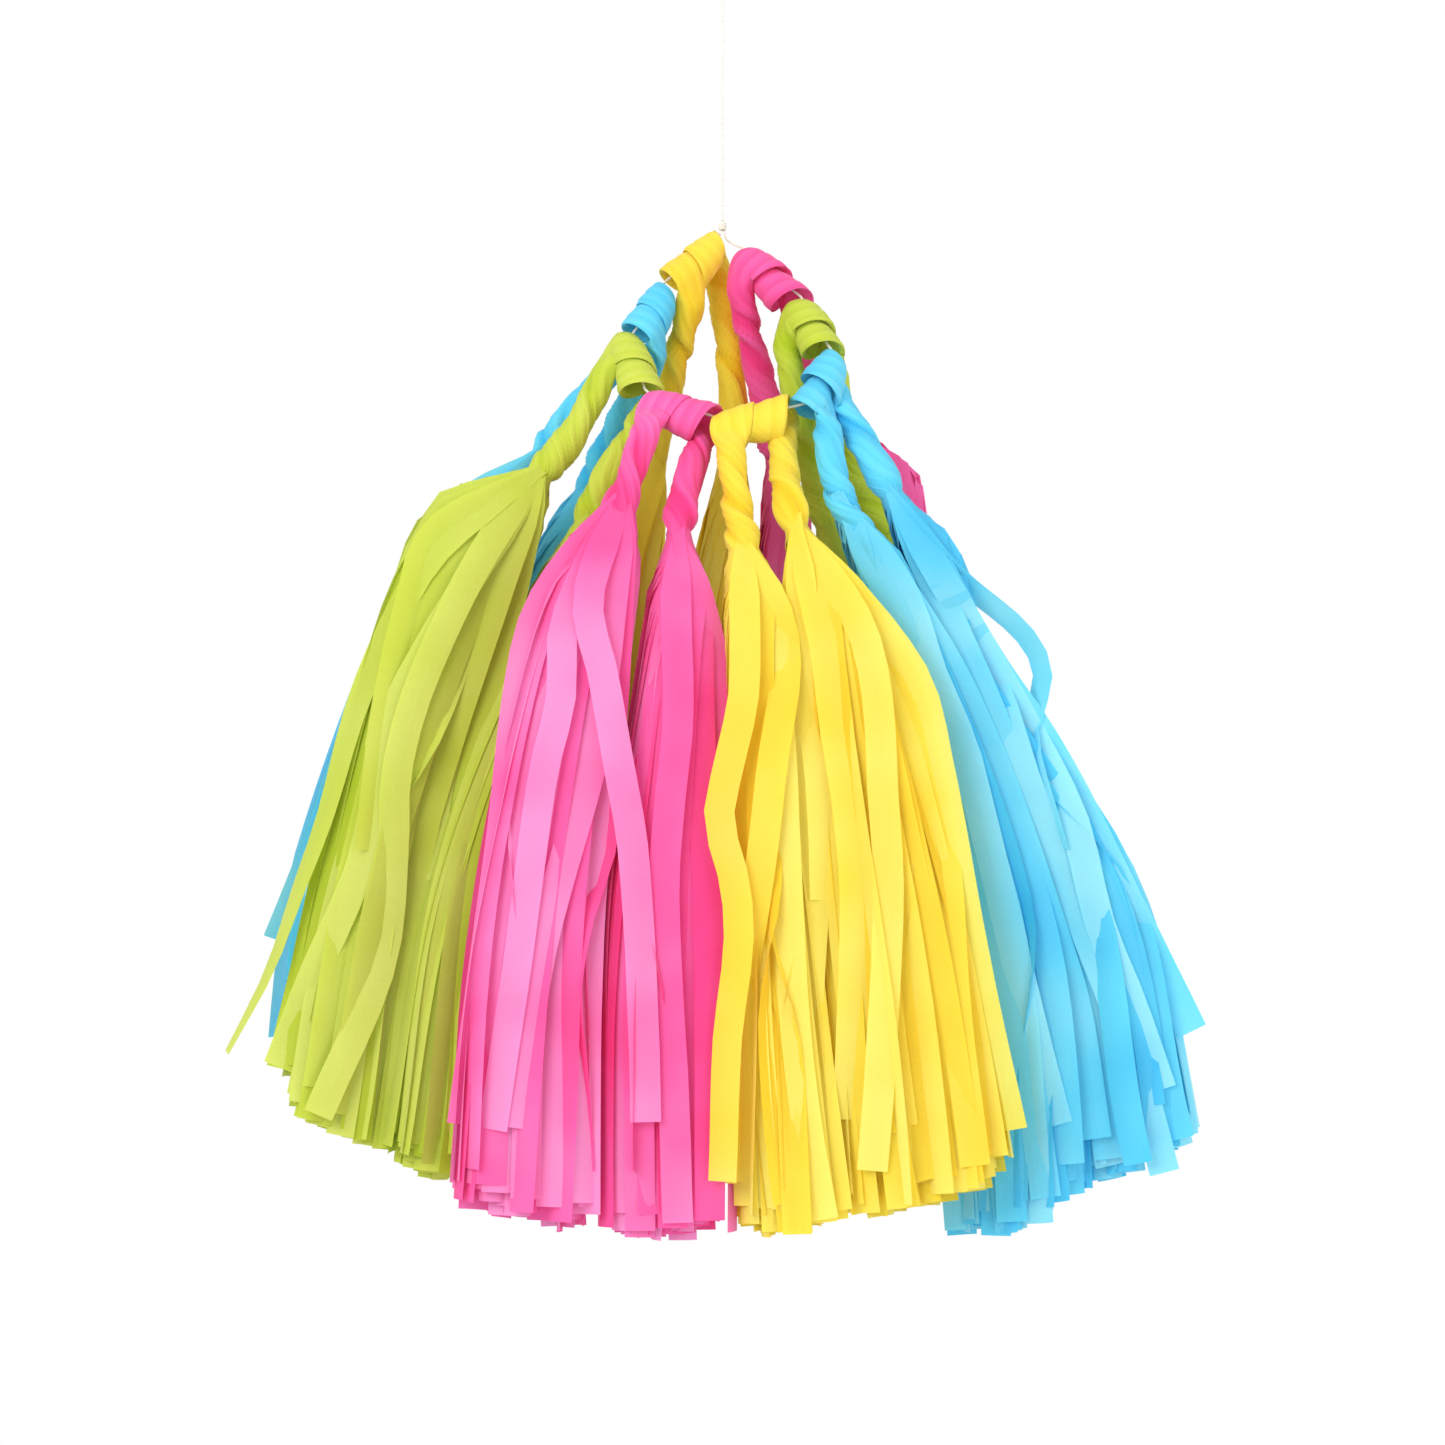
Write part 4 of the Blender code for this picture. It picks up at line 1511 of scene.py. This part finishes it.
SHOWN: dict[str, tuple[Shown, ...]] = {
    "blue_back_outer": (
        Shown(0.0020, 0.70, (
            (480, 490), (440, 530), (404, 600), (372, 680), (336, 780), (305, 865), (274, 940),
        ), (-20, -40)),
        Shown(0.0010, 0.45, (
            (505, 490), (435, 570), (385, 660), (352, 740), (320, 850), (302, 950), (300, 1050),
        ), (-30, -10)),
    ),
    "green_left_outer": (
        Shown(0.0025, 0.60, ((438, 530), (411, 600), (387, 704), (377, 770), (368, 850)), (0, -40)),
        Shown(0.0010, 0.75, (
            (446, 540), (398, 610), (356, 704), (323, 817), (295, 893), (266, 973), (224, 1053),
        ), (20, 78)),
        Shown(0.0020, 0.90, (
            (400, 700), (378, 790), (361, 865), (342, 912), (309, 983), (276, 1068),
        ), (0, 10)),
        Shown(0.0035, 0.80, (
            (480, 560), (440, 640), (412, 710), (396, 780), (394, 850), (380, 968), (318, 1115),
        )),
        Shown(0.0020, 0.55, ((430, 800), (408, 912), (398, 983), (370, 1148)), (5, 0)),
        Shown(0.0010, 0.40, ((455, 850), (440, 950), (425, 1050), (412, 1168)), (0, 15)),
    ),
    "green_left_inner": (
        Shown(0.0025, 0.85, (
            (526, 501), (507, 582), (483, 667), (450, 742), (436, 799), (428, 880),
        )),
    ),
    "pink_front_left": (
        Shown(0.0015, 0.55, ((543, 598), (520, 675), (502, 832), (490, 920), (462, 1125))),
        Shown(0.0028, 0.95, ((565, 621), (561, 697), (543, 774), (520, 945), (493, 1129)), (10, 20)),
        Shown(0.0022, 0.80, ((601, 700), (590, 770), (556, 891), (538, 967), (516, 1127))),
        Shown(0.0050, 1.00, (
            (588, 598), (603, 675), (619, 765), (634, 855), (644, 1035), (646, 1121),
        ), least_depth=0.98),
        Shown(0.0012, 0.30, (
            (612, 720), (601, 855), (583, 909), (570, 990), (579, 1080), (586, 1172),
        ), (0, 60)),
    ),
    "pink_front_right": (
        Shown(0.0028, 0.60, (
            (676, 600), (678, 720), (669, 810), (664, 900), (673, 1080), (678, 1222),
        )),
        Shown(0.0020, 0.35, (
            (700, 598), (722, 711), (714, 774), (708, 860), (712, 960),
        ), (-20, 30)),
    ),
    "yellow_front_left": (
        Shown(0.0050, 0.60, (
            (744, 690), (730, 760), (719, 818), (735, 885), (738, 945), (727, 1040), (722, 1180),
        ), (0, 25), 0.98),
        Shown(0.0032, 0.50, ((785, 640), (771, 774), (762, 855), (735, 1035), (722, 1183))),
    ),
    "yellow_front_right": (
        Shown(0.0030, 0.95, ((803, 600), (800, 680), (816, 742), (823, 819), (825, 900)), (30, -20)),
        Shown(0.0020, 0.75, ((825, 648), (834, 720), (848, 810), (855, 900), (848, 1120))),
        Shown(0.0040, 0.90, ((866, 640), (884, 810), (888, 900), (879, 1080), (872, 1170)), (0, 5)),
        Shown(0.0025, 0.45, ((897, 657), (920, 720), (945, 855), (956, 1012), (975, 1165))),
        Shown(0.0033, 0.80, (
            (912, 670), (938, 760), (969, 922), (985, 1000), (1015, 1130),
        ), (0, 40)),
        Shown(0.0026, 0.60, ((795, 760), (778, 920), (770, 1000), (745, 1183))),
        Shown(0.0036, 0.85, ((815, 840), (807, 1035), (804, 1172))),
    ),
    "blue_front_left": (
        Shown(0.0026, 0.90, (
            (903, 592), (932, 674), (961, 742), (982, 819), (1035, 1038), (1058, 1125),
        )),
        Shown(0.0014, 0.35, ((905, 640), (930, 720), (975, 900), (1000, 1000), (1012, 1222))),
        Shown(0.0020, 0.55, (
            (940, 650), (985, 740), (1020, 830), (1050, 920), (1078, 1010), (1098, 1140),
        )),
        Shown(0.0020, 0.60, ((965, 752), (985, 868), (1030, 1086), (1046, 1198))),
    ),
    "blue_front_right": (
        Shown(0.0026, 0.85, (
            (956, 600), (1000, 700), (1029, 790), (1107, 985), (1140, 1080), (1165, 1173),
        )),
        Shown(0.0016, 0.65, (
            (950, 620), (990, 710), (1022, 800), (1060, 900), (1090, 1000), (1110, 1160),
        )),
        Shown(-0.0010, 0.60, (
            (940, 560), (972, 590), (1000, 612), (1022, 632), (1038, 655), (1043, 680), (1036, 708),
            (1030, 745), (1060, 850),
        ), (48, 60)),
        Shown(0.0032, 0.60, (
            (948, 590), (978, 640), (1002, 678), (1032, 720), (1068, 780), (1107, 858), (1194, 1032),
        )),
        Shown(0.0034, 1.00, ((1065, 800), (1100, 926), (1130, 1000), (1162, 1090)), (0, 10)),
    ),
}


@dataclass(frozen=True)
class TasselPlan:
    """One tassel: its name, its colour, and its ends' sides, the outer one of the loop first."""

    name: str
    colour: str
    sides: tuple[str, str]
    wrap: Wrap = Wrap()
    paleness: tuple[float, float] = (0.0, 0.0)


OUTER_FIRST = ("outer", "inner")
LEFT_FIRST = ("left", "right")
PLANS = (
    TasselPlan("yellow_back", "yellow", ("right", "left"), Wrap(-0.0003, 0.0150, 0.0084)),
    TasselPlan("blue_back", "blue", OUTER_FIRST, Wrap(0.0015, 0.0130, 0.0074)),
    TasselPlan("green_left", "green", OUTER_FIRST),
    TasselPlan("pink_front", "pink", LEFT_FIRST, Wrap(-0.001, 0.0125, 0.0078), (0.25, -0.05)),
    TasselPlan("yellow_front", "yellow", LEFT_FIRST, Wrap(-0.0035, 0.0150, 0.0086)),
    TasselPlan("blue_front", "blue", LEFT_FIRST, Wrap(-0.002, 0.0150, 0.0088, 0.0022)),
    TasselPlan("green_right", "green", OUTER_FIRST, Wrap(-0.0032, 0.0115, 0.0074)),
    TasselPlan("pink_back", "pink", OUTER_FIRST, Wrap(-0.0026, 0.0145, 0.0084)),
)


@dataclass
class Garland:
    """The whole garland: its string and its eight tassels."""

    plans: tuple[TasselPlan, ...] = PLANS
    seed: int = 41

    def fringe(self, order: int, place: int) -> Fringe:
        """One end of a tassel.

        Args:
            order: The tassel's number along the loop, from 0.
            place: 0 for its outer end, 1 for its inner.

        Returns:
            The fringe.
        """
        plan = self.plans[order]
        side = plan.sides[place]
        label = f"{plan.name}_{side}"
        seed = self.seed + 10 * order + place
        return Fringe(side, LEVELS[label], SHOWN.get(label, ()), seed, plan.paleness[place])

    def build(self) -> None:
        """Make the string first, and then each tassel in its order along the loop."""
        loop = LoopLine()
        StringWork(loop).build(len(self.plans))
        strips = strip_tree()
        papers = {
            (colour, grain): finish.material(f"{colour}_tissue_{grain.name.lower()}", grain)
            for colour, finish in PAPERS.items()
            for grain in Grain
        }
        for order, plan in enumerate(self.plans):
            ends = [self.fringe(order, place) for place in range(len(plan.sides))]
            head = TwistedHead(Saddle.on(loop, order), *ends, plan.wrap, self.seed + order)
            head.build(plan.name, plan.colour, papers[plan.colour, Grain.TWIST])
            for end in ends:
                end.build(plan.name, plan.colour, strips, papers[plan.colour, Grain.STRIP])


# The studio


@dataclass(frozen=True)
class Studio:
    """The camera, the pale floor, the white surround and the soft lamps."""

    picture: Picture = Picture()
    sensor: float = 36.0
    farthest_seen: float = 50.0
    surround_light: float = 0.80
    floor_drop: float = 1.6
    floor_side: float = 9.0
    floor_shades: tuple[float, float] = (0.86, 0.90)
    floor_roughness: float = 0.9

    def camera(self) -> None:
        """Place the camera level with the middle of the picture."""
        data = bpy.data.cameras.new("picture_camera")
        data.sensor_width = self.sensor
        data.lens = self.sensor * self.picture.distance / self.picture.frame_side
        data.clip_end = self.farthest_seen
        camera = put_in_scene("picture_camera", data)
        across, depth, height = self.picture.centre
        camera.location = (across, depth - self.picture.distance, height)
        camera.rotation_euler = (math.pi / 2, 0.0, 0.0)
        bpy.context.scene.camera = camera

    def lamp(self, name: str, place: Place, side: float, power: float) -> None:
        """A square soft lamp aimed at the middle of the garland.

        Args:
            name: The lamp's name.
            place: Where it stands.
            side: The length of its side.
            power: Its power in watts.
        """
        data = bpy.data.lights.new(name, "AREA")
        data.size = side
        data.energy = power
        lamp = put_in_scene(name, data)
        lamp.location = place
        aim = Vector(self.picture.centre) - Vector(place)
        lamp.rotation_euler = aim.to_track_quat("-Z", "Y").to_euler()

    def surround(self) -> None:
        """White to the camera, and an even pale light on the garland."""
        world = bpy.data.worlds.new("white_surround")
        graph = Graph.emptied(world)
        rays = graph.add("ShaderNodeLightPath").outputs
        seen = graph.maths("MAXIMUM", rays["Is Camera Ray"], rays["Is Glossy Ray"])
        seen = graph.maths("MAXIMUM", seen, rays["Is Transmission Ray"])
        white = {"Color": (1.0, 1.0, 1.0, 1.0)}
        shown = graph.add("ShaderNodeBackground", {**white, "Strength": 1.0})
        lit = graph.add("ShaderNodeBackground", {**white, "Strength": self.surround_light})
        mix = graph.add("ShaderNodeMixShader", {0: seen, 1: lit, 2: shown})
        graph.add("ShaderNodeOutputWorld", {"Surface": mix})
        bpy.context.scene.world = world

    def floor(self) -> None:
        """A plain pale floor far below the garland."""
        half = self.floor_side / 2
        mesh = bpy.data.meshes.new("studio_floor")
        corners = ((-half, -half), (half, -half), (half, half), (-half, half))
        mesh.from_pydata([(x, y, -self.floor_drop) for x, y in corners], [], [(0, 1, 2, 3)])
        material = bpy.data.materials.new("pale_floor")
        graph = Graph.emptied(material)
        stops = [(place, (shade,) * 3) for place, shade in enumerate(self.floor_shades)]
        shades = graph.ramp(graph.noise(graph.object_place(), scale=3.0, detail=2.0), *stops)
        fed = {"Base Color": shades, "Roughness": self.floor_roughness}
        shader = graph.add("ShaderNodeBsdfPrincipled", fed)
        graph.add("ShaderNodeOutputMaterial", {"Surface": shader})
        mesh.materials.append(material)
        put_in_scene("studio_floor", mesh)

    def build(self) -> None:
        """Set the whole studio."""
        self.camera()
        self.surround()
        self.floor()
        self.lamp("key_softbox", (-1.1, -1.7, 0.55), side=1.2, power=24.0)
        self.lamp("fill_softbox", (1.5, -1.4, -0.1), side=1.2, power=10.0)
        bpy.context.scene.view_settings.view_transform = "Standard"


def clear_objects() -> None:
    """Remove what the file starts with."""
    for old in list(bpy.data.objects):
        bpy.data.objects.remove(old, do_unlink=True)


def main() -> None:
    """Load the frame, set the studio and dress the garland."""
    logging.basicConfig(level=logging.INFO, format="%(message)s")
    clear_objects()
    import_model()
    Studio().build()
    Garland().build()


if __name__ == "__main__":
    main()
